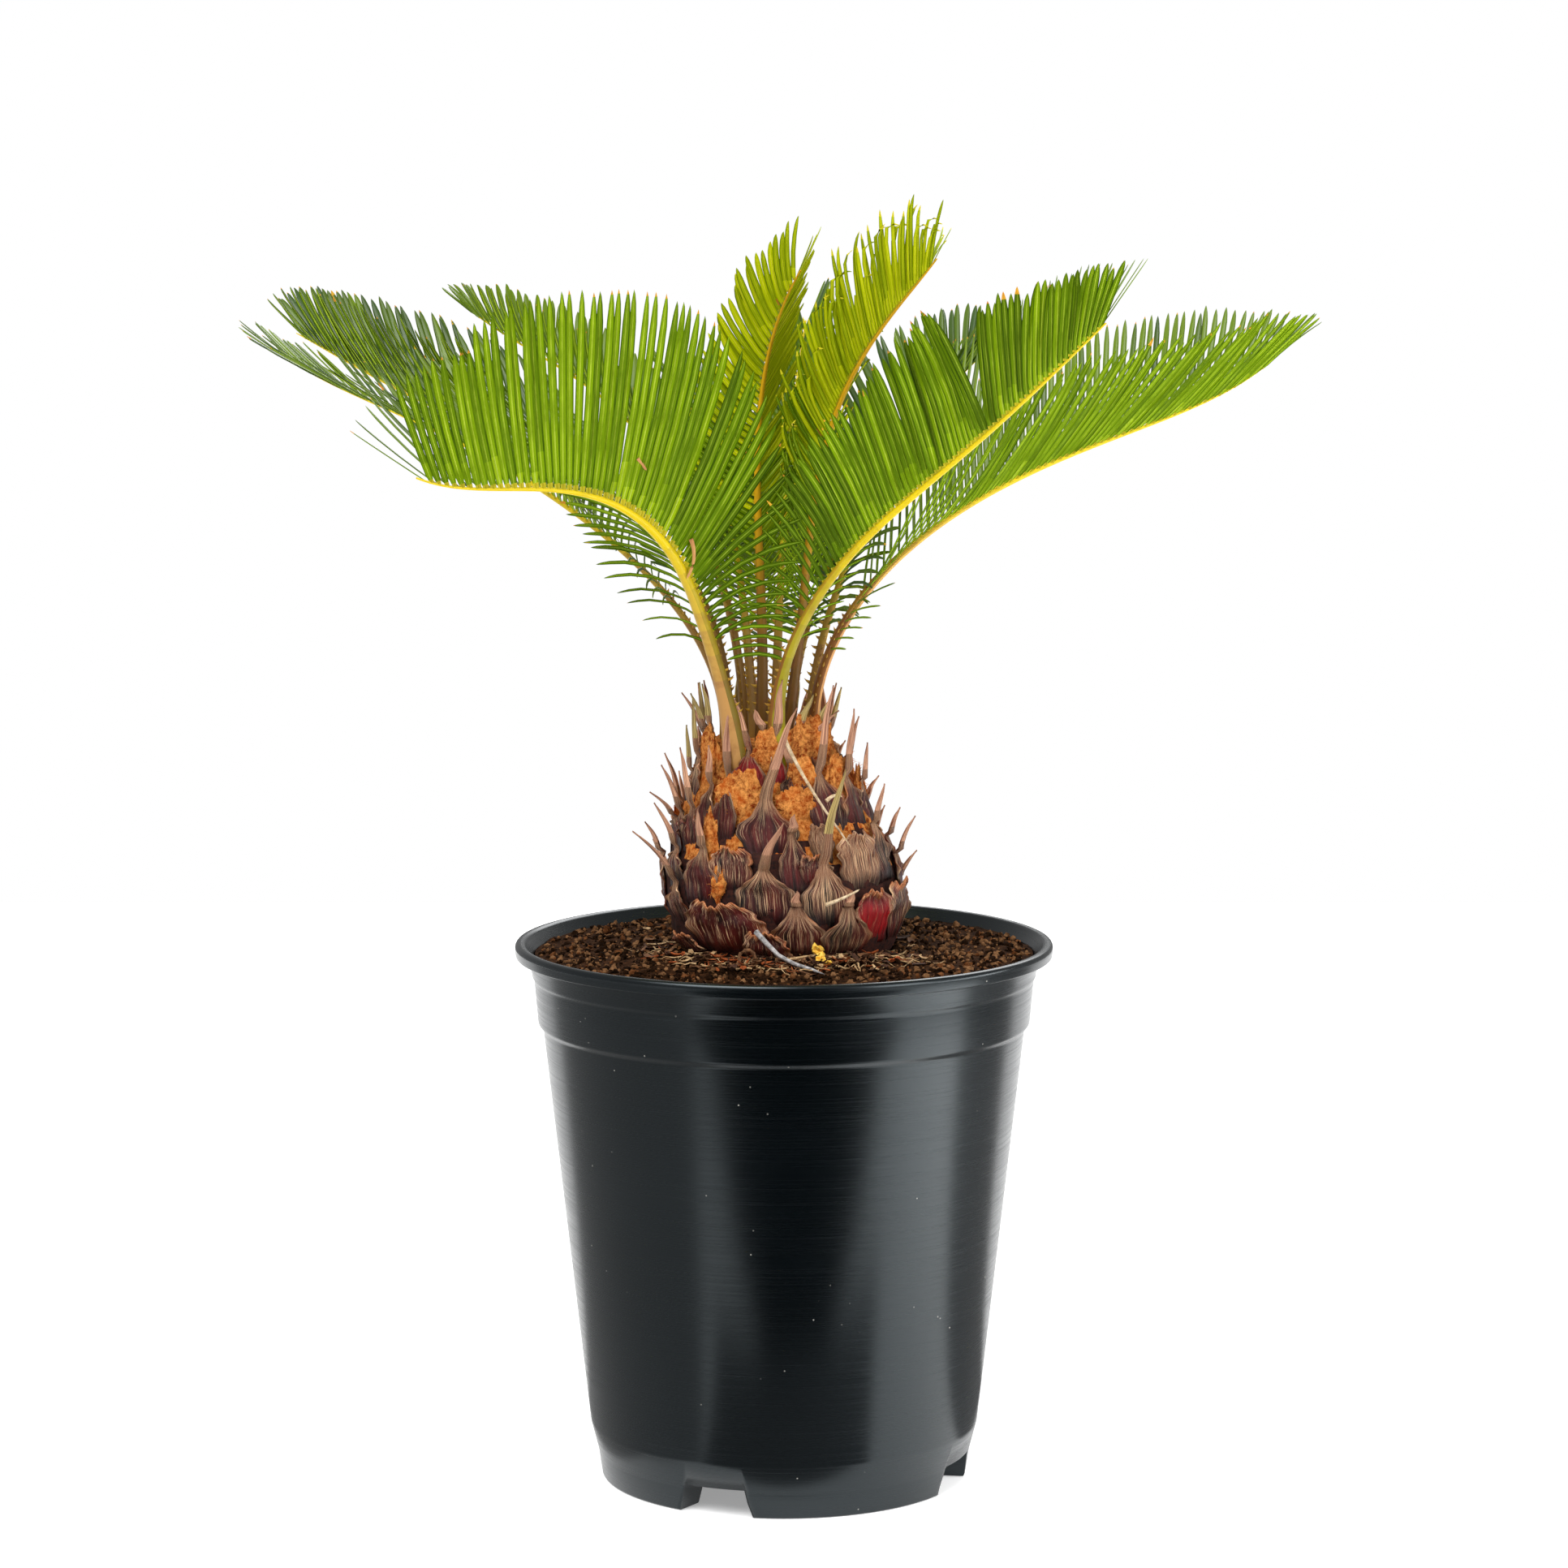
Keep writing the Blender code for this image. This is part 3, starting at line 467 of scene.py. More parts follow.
class Finish:
    """A material being mixed: its nodes, and the pattern that reads Object coordinates."""

    def __init__(self, name, roughness, specular=0.5):
        self.mat = bpy.data.materials.new(name)
        self.mat.use_nodes = True
        self.tree = self.mat.node_tree
        self.shader = self.tree.nodes["Principled BSDF"]
        self.shader.inputs["Roughness"].default_value = roughness
        self.shader.inputs["Specular IOR Level"].default_value = specular
        self.place = self.tree.nodes.new("ShaderNodeTexCoord").outputs["Object"]

    def node(self, kind, **settings):
        """A new node of a kind, with its settings."""
        made = self.tree.nodes.new(kind)
        for key, value in settings.items():
            setattr(made, key, value)
        return made

    def join(self, source, target):
        """Link a node's output to an input."""
        self.tree.links.new(source, target)

    def stretched(self, scale, source=None):
        """Coordinates scaled by different shares along each axis."""
        mapping = self.node("ShaderNodeMapping")
        mapping.inputs["Scale"].default_value = scale
        self.join(source or self.place, mapping.inputs["Vector"])
        return mapping.outputs["Vector"]

    def own_map(self):
        """The piece's own map, across and along each leaf base."""
        return self.node("ShaderNodeUVMap", uv_map="base_map").outputs["UV"]

    def grain(self, scale, detail=3.0, rough=0.55, source=None):
        """Noise of a scale, as a value from 0 to 1."""
        made = self.node("ShaderNodeTexNoise")
        made.inputs["Scale"].default_value = scale
        made.inputs["Detail"].default_value = detail
        made.inputs["Roughness"].default_value = rough
        self.join(source or self.place, made.inputs["Vector"])
        return made.outputs["Fac"]

    def span(self, source, low, high, to_low=0.0, to_high=1.0):
        """Spread a value from one range to another, clamped."""
        made = self.node("ShaderNodeMapRange")
        for key, value in (("From Min", low), ("From Max", high), ("To Min", to_low),
                           ("To Max", to_high)):
            made.inputs[key].default_value = value
        self.join(source, made.inputs["Value"])
        return made.outputs["Result"]

    def mix(self, share, first, second):
        """Mix two colours, each a plain value or a node's output, by a share."""
        made = self.node("ShaderNodeMix", data_type="RGBA")
        for socket, value in ((made.inputs[6], first), (made.inputs[7], second)):
            if isinstance(value, tuple):
                socket.default_value = value
            else:
                self.join(value, socket)
        self.join(share, made.inputs[0])
        return made.outputs[2]

    def times(self, first, second):
        """The product of two values."""
        made = self.node("ShaderNodeMath", operation="MULTIPLY")
        self.join(first, made.inputs[0])
        self.join(second, made.inputs[1])
        return made.outputs[0]

    def times_plus(self, first, share, second):
        """A value times a share, plus another value."""
        made = self.node("ShaderNodeMath", operation="MULTIPLY_ADD")
        made.inputs[1].default_value = share
        self.join(first, made.inputs[0])
        self.join(second, made.inputs[2])
        return made.outputs[0]

    def paint(self, source):
        """Set the base colour, from a plain colour or a node's output."""
        if isinstance(source, tuple):
            self.shader.inputs["Base Color"].default_value = source
        else:
            self.join(source, self.shader.inputs["Base Color"])

    def dull(self, source):
        """Set the roughness."""
        self.join(source, self.shader.inputs["Roughness"])

    def relief(self, height, strength, depth):
        """Bump the surface by a pattern."""
        made = self.node("ShaderNodeBump")
        made.inputs["Strength"].default_value = strength
        made.inputs["Distance"].default_value = depth
        self.join(height, made.inputs["Height"])
        self.join(made.outputs["Normal"], self.shader.inputs["Normal"])


def pot_plastic():
    """Black injection-moulded plastic with fine scuffs round it and a few dust specks."""
    finish = Finish("pot_plastic", 0.26, specular=0.5)
    finish.shader.inputs["Specular Tint"].default_value = (0.84, 0.95, 1.0, 1.0)
    scuffs = finish.grain(1.0, 4.0, 0.7, finish.stretched((7, 7, 1500)))
    haze = finish.grain(14.0, 3.0)
    finish.dull(finish.span(scuffs, 0.3, 0.7, 0.2, 0.31))
    tone = finish.mix(finish.span(haze, 0.35, 0.7), colour(1, 4, 6), colour(4, 8, 11))
    worn = finish.mix(finish.span(scuffs, 0.66, 0.8, 0.0, 0.25), tone, colour(62, 66, 70))
    specks = finish.node("ShaderNodeTexVoronoi")
    specks.inputs["Scale"].default_value = 130.0
    finish.join(finish.place, specks.inputs["Vector"])
    dust = finish.span(specks.outputs["Distance"], 0.055, 0.03)
    sparse = finish.span(finish.grain(38.0, 2.0), 0.52, 0.6)
    finish.paint(finish.mix(finish.times(dust, sparse), worn, colour(150, 148, 140)))
    finish.relief(scuffs, 0.1, 0.1 * MM)
    return finish.mat


def soil_earth(name, dark, light):
    """Damp peat: dark with lighter grains, and rough all over."""
    finish = Finish(name, 0.92, specular=0.04)
    clods = finish.grain(420.0, 5.0, 0.7)
    finish.paint(finish.mix(finish.span(clods, 0.35, 0.68), dark, light))
    finish.relief(finish.grain(1300.0, 4.0, 0.7), 0.8, 0.6 * MM)
    return finish.mat


def dry_stuff(name, dark, light):
    """Dead plant stuff, such as bark bits, fibres and twigs."""
    finish = Finish(name, 0.8, specular=0.25)
    streaks = finish.grain(700.0, 4.0, 0.65)
    finish.paint(finish.mix(finish.span(streaks, 0.35, 0.65), dark, light))
    finish.relief(streaks, 0.5, 0.3 * MM)
    return finish.mat


def wool_felt():
    """Orange-brown wool that fills the gaps between the leaf bases."""
    finish = Finish("caudex_wool", 0.95, specular=0.1)
    clumps = finish.grain(420.0, 5.0, 0.78)
    dark = finish.mix(finish.span(finish.grain(90.0, 2.0), 0.4, 0.62), colour(138, 46, 8),
                      colour(200, 92, 28))
    finish.paint(finish.mix(finish.span(clumps, 0.4, 0.62), dark, colour(252, 172, 88)))
    finish.relief(finish.grain(1300.0, 5.0, 0.8), 1.0, 1.0 * MM)
    return finish.mat


def leaf_base_bark():
    """Leaf bases: plum to grey-brown, with tan streaks that run along them.

    The piece's own map runs across and along each leaf base, and its tint gives how dry,
    how woolly and how red a place is; its alpha is painted shade, which darkens a place.
    """
    finish = Finish("leaf_base_bark", 0.36, specular=0.5)
    place = finish.own_map()
    tint = finish.node("ShaderNodeAttribute", attribute_name="tint")
    split = finish.node("ShaderNodeSeparateColor")
    finish.join(tint.outputs["Color"], split.inputs["Color"])
    dry, woolly, red = split.outputs
    fine = finish.grain(1.0, 4.0, 0.72, finish.stretched((84, 2.2, 1), place))
    broad = finish.grain(1.0, 2.0, 0.5, finish.stretched((6, 1.5, 1), place))
    plum = finish.mix(finish.span(broad, 0.35, 0.65), colour(14, 3, 4), colour(108, 30, 25))
    crimson = finish.mix(finish.span(fine, 0.35, 0.7), colour(214, 6, 28), colour(142, 28, 32))
    body = finish.mix(red, plum, crimson)
    straw = finish.mix(finish.span(fine, 0.47, 0.62), colour(136, 74, 46), colour(255, 212, 164))
    dryness = finish.times_plus(dry, 0.4, fine)
    dried = finish.mix(finish.span(dryness, 0.6, 0.67), body, straw)
    rust = finish.mix(finish.span(fine, 0.3, 0.7), colour(170, 62, 16), colour(238, 150, 78))
    # Painted shade: the tint's alpha darkens towards near-black in furrows, at each shield's foot
    # and along its lower margins.
    finish.paint(finish.mix(tint.outputs["Alpha"], finish.mix(woolly, dried, rust),
                            colour(18, 8, 8)))
    finish.relief(fine, 1.0, 0.8 * MM)
    return finish.mat


def spine_skin(name, dark, light):
    """Dead tip of a leaf base, streaked along its length."""
    finish = Finish(name, 0.6, specular=0.3)
    place = finish.own_map()
    streaks = finish.grain(1.0, 3.0, 0.6, finish.stretched((26, 4, 1), place))
    finish.paint(finish.mix(finish.span(streaks, 0.38, 0.62), dark, light))
    finish.relief(streaks, 0.6, 0.4 * MM)
    return finish.mat


def leaf_green(name, base, other, roughness, specular=0.18):
    """Leaflet surface: one green with a faint mottle of another, and a leathery grain."""
    finish = Finish(name, roughness, specular)
    mottle = finish.span(finish.grain(70.0, 3.0), 0.42, 0.72)
    finish.paint(finish.mix(mottle, base, other))
    finish.relief(finish.grain(1600.0, 2.0), 0.12, 0.1 * MM)
    return finish.mat


def rib_skin(name, base, other):
    """Skin of a rib or petiole, smooth with a faint brown bloom."""
    finish = Finish(name, 0.42, specular=0.3)
    bloom = finish.span(finish.grain(150.0, 4.0, 0.6), 0.5, 0.72)
    finish.paint(finish.mix(bloom, base, other))
    finish.relief(finish.grain(900.0, 3.0), 0.15, 0.1 * MM)
    return finish.mat


def between(first, second, share):
    """A colour between two others."""
    return tuple(low + (high - low) * share for low, high in zip(first, second))


def rib_shades(name, foot, middle, tip):
    """Skins from the foot of a petiole to the bright tip of its rib."""
    shades = []
    for step in range(RIB_SHADES):
        share = step / (RIB_SHADES - 1)
        if share < 0.5:
            base = between(foot, middle, 2 * share)
        else:
            base = between(middle, tip, 2 * share - 1)
        bloom = between(base, colour(126, 74, 34), 0.5 - 0.42 * share)
        shades.append(rib_skin(f"{name}_{step}", base, bloom))
    return shades


def rib_finishes(name, below, above, tip):
    """One colour below and one above at a petiole's foot, and one bright colour at the tip."""
    tint = between(below, tip, 0.5)
    shade = between(above, tip, 0.4)
    return (rib_shades(f"{name}_below", below, tint, tip)
            + rib_shades(f"{name}_above", above, shade, tip))


def petiole_kinds():
    """The finishes of the ribs, by the look of their petioles."""
    yellow, amber = colour(226, 198, 4), colour(222, 168, 10)
    return {
        "tan": rib_finishes("petiole_tan", colour(184, 136, 74), colour(118, 98, 26), yellow),
        "green": rib_finishes("petiole_green", colour(152, 140, 24), colour(134, 88, 30), yellow),
        "rosy": rib_finishes("petiole_rosy", colour(214, 156, 90), colour(124, 78, 28), yellow),
        "brown": rib_finishes("petiole_brown", colour(182, 138, 66), colour(134, 100, 42), yellow),
        "amber": rib_finishes("petiole_amber", colour(104, 72, 24), colour(88, 58, 20), amber),
    }


# Leaflet greens from old fronds to young ones: back, the painted shade on its edges, upper face and
# midrib
LEAF_TONES = (
    ("deep", (82, 108, 2), (42, 64, 2), (64, 90, 40), (136, 160, 42)),
    ("mid", (102, 132, 2), (56, 82, 2), (84, 108, 30), (162, 186, 52)),
    ("bright", (122, 152, 2), (70, 98, 2), (106, 132, 16), (184, 206, 62)),
    ("pale", (150, 176, 16), (96, 122, 4), (116, 144, 30), (200, 218, 88)),
    ("fresh", (158, 174, 2), (96, 114, 2), (134, 156, 4), (200, 206, 36)),
    ("lime", (194, 204, 4), (138, 152, 2), (168, 186, 6), (224, 222, 52)),
)
PALER = (1, 2, 3, 3, 5, 5)        # the tone near a leaflet's root, by its own tone
OLDER_TONES, YOUNG_TONES = (0, 1, 2), (4, 5)
TONES = len(LEAF_TONES)
LEAF_BACK, LEAF_EDGE_SHADE, LEAF_FACE, MIDRIB = (TONES * index for index in range(4))
LEAF_ROOT, LEAF_TIP, LEAF_TIP_YOUNG, LEAF_SCORCH, LEAF_DRY = (
    4 * TONES + index for index in range(5))


def leaf_finishes():
    """The finishes of a leaflet: backs, edges in painted shade, faces and midribs by tone, then the
    marks.
    """
    backs, edges, faces, midribs = [], [], [], []
    for name, back, edge, face, midrib in LEAF_TONES:
        mottle = between(colour(*back), colour(*edge), 0.45)
        backs.append(leaf_green(f"back_{name}", colour(*back), mottle, 0.5, 0.05))
        # The edge green is painted shade between neighbouring leaflets.
        edges.append(leaf_green(f"edge_{name}", colour(*edge), mottle, 0.6, 0.03))
        faces.append(leaf_green(f"face_{name}", colour(*face), mottle, 0.36, 0.42))
        midribs.append(leaf_green(f"midrib_{name}", colour(*midrib), colour(*back), 0.5, 0.1))
    marks = [
        leaf_green("leaf_root", colour(186, 172, 22), colour(158, 150, 18), 0.5),
        leaf_green("leaf_tip", colour(214, 164, 44), colour(190, 108, 34), 0.6),
        leaf_green("leaf_tip_young", colour(228, 216, 40), colour(206, 190, 30), 0.6),
        leaf_green("leaf_scorch", colour(204, 150, 48), colour(170, 100, 30), 0.7),
        leaf_green("leaf_dry", colour(206, 152, 96), colour(170, 112, 66), 0.75),
    ]
    return backs + edges + faces + midribs + marks


# Pot

def inside_radius(height):
    """Radius of the pot's inner face at a height."""
    wall = ((FLOOR_HEIGHT + FLOOR, HEEL_RADIUS), (WALL_FOOT_HEIGHT, WALL_FOOT_RADIUS),
            (WALL_TOP_HEIGHT, WALL_TOP_RADIUS), (COLLAR_HEIGHT, COLLAR_RADIUS),
            (POT_HEIGHT - RIM_FACE, COLLAR_TOP_RADIUS))
    return along(wall, height) - WALL


def pot_profile():
    """Half section of the pot, from the floor's top over the rim to the floor's underside."""
    rim_foot = POT_HEIGHT - RIM_FACE
    floor = FLOOR_HEIGHT + FLOOR
    inner = [(0.0, floor)]
    for height in (floor, WALL_FOOT_HEIGHT, WALL_TOP_HEIGHT, COLLAR_HEIGHT, rim_foot):
        inner.append((inside_radius(height), height))
    rim = [
        (RIM_INNER_RADIUS, POT_HEIGHT - RIM_ROUND),
        (RIM_INNER_RADIUS + 0.5 * RIM_ROUND, POT_HEIGHT - 0.3 * RIM_ROUND),
        (RIM_RADIUS - 1.4 * RIM_ROUND, POT_HEIGHT),
        (RIM_RADIUS - 0.4 * RIM_ROUND, POT_HEIGHT - 0.3 * RIM_ROUND),
        (RIM_RADIUS, POT_HEIGHT - 1.2 * RIM_ROUND),
        (RIM_RADIUS - 0.3 * MM, rim_foot),
    ]
    outer = [
        (COLLAR_TOP_RADIUS, rim_foot - 0.6 * MM),
        (COLLAR_RADIUS, COLLAR_HEIGHT),
        (COLLAR_RADIUS - GROOVE, COLLAR_HEIGHT - 1.3 * MM),
        (COLLAR_RADIUS - GROOVE - 0.1 * MM, COLLAR_HEIGHT - 3 * MM),
        (BAND_RADIUS, BAND_HEIGHT),
        (WALL_TOP_RADIUS, WALL_TOP_HEIGHT),
        (WALL_FOOT_RADIUS, WALL_FOOT_HEIGHT),
        (HEEL_RADIUS, HEEL_HEIGHT),
        (GROUND_RADIUS, 0.0),
    ]
    foot = [
        (FOOT_INNER_RADIUS, 0.0),
        (FOOT_INNER_RADIUS - 1.5 * MM, FLOOR_HEIGHT),
        (0.0, FLOOR_HEIGHT),
    ]
    return inner + rim + outer + foot


def turned(profile, segments, soft_edge=0.0):
    """Spin a profile of (radius, height) points, from axis to axis, into a closed solid."""
    bm = bmesh.new()
    verts = [bm.verts.new((radius, 0.0, height)) for radius, height in profile]
    for first, second in zip(verts, verts[1:]):
        bm.edges.new((first, second))
    if soft_edge:
        bmesh.ops.bevel(bm, geom=verts[1:-1], offset=soft_edge, offset_type="OFFSET",
                        affect="VERTICES", segments=SOFT_EDGE_STEPS, profile=0.5, material=-1,
                        clamp_overlap=True)
    bmesh.ops.spin(bm, geom=bm.verts[:] + bm.edges[:], cent=(0, 0, 0), axis=(0, 0, 1),
                   angle=math.tau, steps=segments, use_merge=True)
    bmesh.ops.remove_doubles(bm, verts=bm.verts, dist=0.01 * MM)
    bmesh.ops.recalc_face_normals(bm, faces=bm.faces)
    return bm


def slot_cutter(bearing):
    """A block with sloping ends that opens the ring of the foot between two feet."""
    bm = bmesh.new()
    bmesh.ops.create_cube(bm, size=1.0)
    inner, outer = SLOT_RADII
    for vert in bm.verts:
        top = vert.co.z > 0
        half = SLOT_TOP_HALF_ANGLE if top else SLOT_HALF_ANGLE
        angle = math.radians(bearing + math.copysign(half, vert.co.y))
        radius = outer if vert.co.x > 0 else inner
        height = FLOOR_HEIGHT + SLOT_BITE if top else -2 * MM
        vert.co = (radius * math.cos(angle), radius * math.sin(angle), height)
    mesh = bpy.data.meshes.new("slot")
    bm.to_mesh(mesh)
    bm.free()
    return mesh


def open_between_feet(pot):
    """Cut the openings of the foot's ring out of the pot, and throw the cutters away."""
    cutters = bpy.data.collections.new("slots")
    bpy.context.scene.collection.children.link(cutters)
    for index in range(FEET):
        bearing = FOOT_BEARING + 360 / FEET * (index + 0.5)
        cutters.objects.link(bpy.data.objects.new("slot", slot_cutter(bearing)))
    cut = pot.modifiers.new("slots", "BOOLEAN")
    cut.operation = "DIFFERENCE"
    cut.solver = "EXACT"
    cut.operand_type = "COLLECTION"
    cut.collection = cutters
    depsgraph = bpy.context.evaluated_depsgraph_get()
    pot.data = bpy.data.meshes.new_from_object(pot.evaluated_get(depsgraph))
    pot.modifiers.clear()
    for cutter in list(cutters.objects):
        bpy.data.objects.remove(cutter, do_unlink=True)
    bpy.data.collections.remove(cutters)


def nursery_pot():
    """The pot with softened edges round it, opened between its feet."""
    bm = turned(pot_profile(), POT_SEGMENTS, SOFT_EDGE)
    mesh = mesh_from(bm, "nursery_pot", [pot_plastic()], 30)
    pot = shown("nursery_pot", mesh)
    open_between_feet(pot)
    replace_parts(pot, "pot")


# Soil

def soil_height(x, y):
    """Height of the soil's surface: lumpy, a little lower along the pot's wall."""
    radius = math.hypot(x, y)
    spot = Vector((x, y, 0.0))
    lumps = sum(noise.noise(spot * scale) * LUMP * MM for scale in LUMP_SCALES)
    pile = ease(*PILE_RADII, radius) * ease(*PILE_FRONT, -y / max(radius, MM))
    return SOIL_TOP + lumps + DOME * ease(*DOME_RADII, radius) + LITTER_PILE * MM * pile


def soil_bed():
    """The soil's body, with a lumpy top inside the rim."""
    floor = FLOOR_HEIGHT + FLOOR + SOIL_GAP
    edge = inside_radius(SOIL_TOP) - SOIL_GAP
    side = [(inside_radius(height) - SOIL_GAP, height)
            for height in (floor, WALL_FOOT_HEIGHT, WALL_TOP_HEIGHT, COLLAR_HEIGHT)]
    top = [(edge * (1 - index / SOIL_RINGS), SOIL_TOP) for index in range(SOIL_RINGS + 1)]
    bm = turned([(0.0, floor)] + side + top, SOIL_SEGMENTS)
    for vert in bm.verts:
        if vert.co.z > SOIL_TOP - 0.1 * MM:
            vert.co.z = soil_height(vert.co.x, vert.co.y)
    earth = soil_earth("soil_earth", colour(14, 6, 2), colour(74, 46, 26))
    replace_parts(shown("soil_bed", mesh_from(bm, "soil_bed", [earth], 60)), "soil")


def lump_form():
    """Points and faces of a small round lump, which each crumb bends its own way."""
    bm = bmesh.new()
    bmesh.ops.create_icosphere(bm, subdivisions=1, radius=1.0)
    points = [vert.co.copy() for vert in bm.verts]
    faces = [tuple(vert.index for vert in face.verts) for face in bm.faces]
    bm.free()
    return points, faces


def crumb(gathered, form, spot, size, finish, rng):
    """One crumb: the lump squashed, dented and turned at random."""
    points, faces = form
    turn = Matrix.Rotation(rng.uniform(0, math.tau), 3, random_way(rng))
    squash = Vector([rng.uniform(*limits) for limits in CRUMB_SQUASH])
    bent = [turn @ (point * rng.uniform(*CRUMB_DENTS) * squash) * size + spot for point in points]
    gathered.add(bent, faces, [finish] * len(faces))


def soil_crumbs():
    """Loose crumbs of peat over the whole surface, finer ones between."""
    rng = random.Random(SEED + 1)
    gathered = Gathered(soil_earth("crumb_dark", colour(12, 5, 2), colour(46, 27, 13)),
                        soil_earth("crumb_brown", colour(70, 44, 24), colour(146, 106, 72)),
                        soil_earth("crumb_red", colour(74, 40, 18), colour(122, 78, 46)))
    form = lump_form()
    outer = inside_radius(SOIL_TOP) - CRUMB_EDGE
    smallest, largest = CRUMB_SIZES
    for _ in range(CRUMBS):
        radius = math.sqrt(rng.uniform(CRUMB_INNER**2, outer**2))
        angle = rng.uniform(0, math.tau)
        x, y = radius * math.cos(angle), radius * math.sin(angle)
        size = smallest + (largest - smallest) * rng.random()**2.2
        spot = Vector((x, y, soil_height(x, y) + size * 0.25))
        crumb(gathered, form, spot, size, rng.choices(range(3), CRUMB_SHARES)[0], rng)
    shown("soil_crumbs", gathered.mesh("soil_crumbs", 50))


# Bark bits: their ranges in mm, and how far their ends curl up
BIT_SPREAD = 9
BIT_LIFTS = (0.4, 1.8)
BIT_LENGTHS = (2.5, 9)
BIT_HALVES = (0.5, 1.9)
BIT_CURLS = (0.0, 0.3)
BIT_STATIONS = (-0.5, -0.2, 0.15, 0.5)
BIT_THICKNESS = 0.25              # mm, on either side

# Fibres on the soil: their ranges in mm
FIBRE_SPREAD = 10
FIBRE_LIFTS = (0.8, 2.0)
FIBRE_STRIDES = (1.2, 2.8)
FIBRE_HALVES = (0.18, 0.42)
FIBRE_STEPS = 6
FIBRE_TURN = 0.25


def bark_bit(gathered, spot, heading, length, half, curl, finish):
    """A thin curled bit of bark lying on the soil."""
    way = Vector((math.cos(heading), math.sin(heading), 0.0))
    across = Vector((-way.y, way.x, 0.0))
    rings = []
    for part in BIT_STATIONS:
        lift = UP * curl * length * (4 * part * part)
        width = half * (1 - 1.3 * abs(part)**1.5)
        middle = spot + way * length * part + lift
        rings.append([middle - across * width + UP * width * 0.5, middle - UP * BIT_THICKNESS * MM,
                      middle + across * width + UP * width * 0.5, middle + UP * BIT_THICKNESS * MM])
    gathered.tube(rings, finish)


def litter_spot(rng, spread):
    """A place round the foot of the caudex, more often in front of it."""
    angle = rng.uniform(0, math.tau)
    if rng.random() < LITTER_IN_FRONT:
        angle = math.radians(rng.gauss(*LITTER_BEARINGS))
    radius = LITTER_INNER + abs(rng.gauss(0, spread)) * MM
    return radius * math.cos(angle), radius * math.sin(angle)


# Litter's finishes after the dark one, in the order that litter_stuffs gives them
LITTER_BROWN, LITTER_TAN, LITTER_RUST, TWIG_GREY, CRUMB_YELLOW = range(1, 6)
LITTER_SHARES = (5, 5, 3, 2)          # dark, brown, tan and rust
FIBRE_STUFFS = (LITTER_BROWN, LITTER_TAN, LITTER_TAN, LITTER_RUST)


def litter_stuffs():
    """The finishes of what lies on the soil."""
    return [
        dry_stuff("litter_dark", colour(38, 20, 14), colour(84, 54, 36)),
        dry_stuff("litter_brown", colour(70, 42, 26), colour(132, 92, 60)),
        dry_stuff("litter_tan", colour(140, 104, 66), colour(204, 172, 128)),
        dry_stuff("litter_rust", colour(110, 48, 20), colour(186, 98, 48)),
        dry_stuff("twig_grey", colour(112, 108, 108), colour(196, 192, 190)),
        dry_stuff("crumb_yellow", colour(206, 140, 20), colour(250, 216, 96)),
    ]


# Single things on the soil, by their x, y and height over it in mm
TWIG = ((-11, -51, 16), (-7, -54, 12), (-2, -57, 8), (4, -59, 5), (11, -61, 3.2), (17, -66, 2.6))
TWIG_HALF = 1.15
STICK = ((2, -56, 6), (7, -55, 6.8), (12, -53, 7.4))
STICK_HALF = 0.6
BARK_CURL = (-14.5, -52.5, 6.0)
BARK_CURL_STEPS = 10
BARK_CURL_RADII = (3.2, 3.4)
BARK_CURL_HALF = 0.9
YELLOW_CRUMBS = ((12, -50, 9.5), (14, -50.5, 9), (12.5, -51, 7.6), (14.5, -51, 6.6),
                 (13.5, -52, 5.4), (15.5, -52, 4.4), (16.5, -52.5, 3.2), (15, -53, 2.4),
                 (17.5, -53, 4.0))
YELLOW_SIZES = (1.2, 1.9)


def raised(x, y, lift):
    """A point over the soil's surface, with all three given in mm."""
    return Vector((x * MM, y * MM, soil_height(x * MM, y * MM) + (lift - LITTER_PILE) * MM))


def scattered_bits(gathered, rng):
    """Bark bits that have fallen round the foot of the caudex."""
    for _ in range(LITTER_BITS):
        x, y = litter_spot(rng, BIT_SPREAD)
        spot = Vector((x, y, soil_height(x, y) + rng.uniform(*BIT_LIFTS) * MM))
        heading = rng.uniform(0, math.tau)
        length = rng.uniform(*BIT_LENGTHS) * MM
        half = rng.uniform(*BIT_HALVES) * MM
        curl = rng.uniform(*BIT_CURLS)
        finish = rng.choices(range(4), LITTER_SHARES)[0]
        bark_bit(gathered, spot, heading, length, half, curl, finish)


def scattered_fibres(gathered, rng):
    """Thin fibres that wander among the bits."""
    for _ in range(LITTER_FIBRES):
        x, y = litter_spot(rng, FIBRE_SPREAD)
        heading = rng.uniform(0, math.tau)
        path = []
        for _ in range(FIBRE_STEPS):
            path.append(Vector((x, y, soil_height(x, y) + rng.uniform(*FIBRE_LIFTS) * MM)))
            heading += rng.gauss(0, FIBRE_TURN)
            stride = rng.uniform(*FIBRE_STRIDES) * MM
            x, y = x + math.cos(heading) * stride, y + math.sin(heading) * stride
        strand(gathered, path, rng.uniform(*FIBRE_HALVES) * MM, rng.choice(FIBRE_STUFFS), sides=4)


def curl_of_bark():
    """The path of a strip of bark that has rolled up."""
    wide, high = BARK_CURL_RADII
    curl = []
    for step in range(BARK_CURL_STEPS):
        angle = 0.6 * step
        turn = Vector((math.cos(angle) * wide, -0.25 * step, math.sin(angle) * high))
        curl.append(raised(*BARK_CURL) + turn * MM)
    return curl


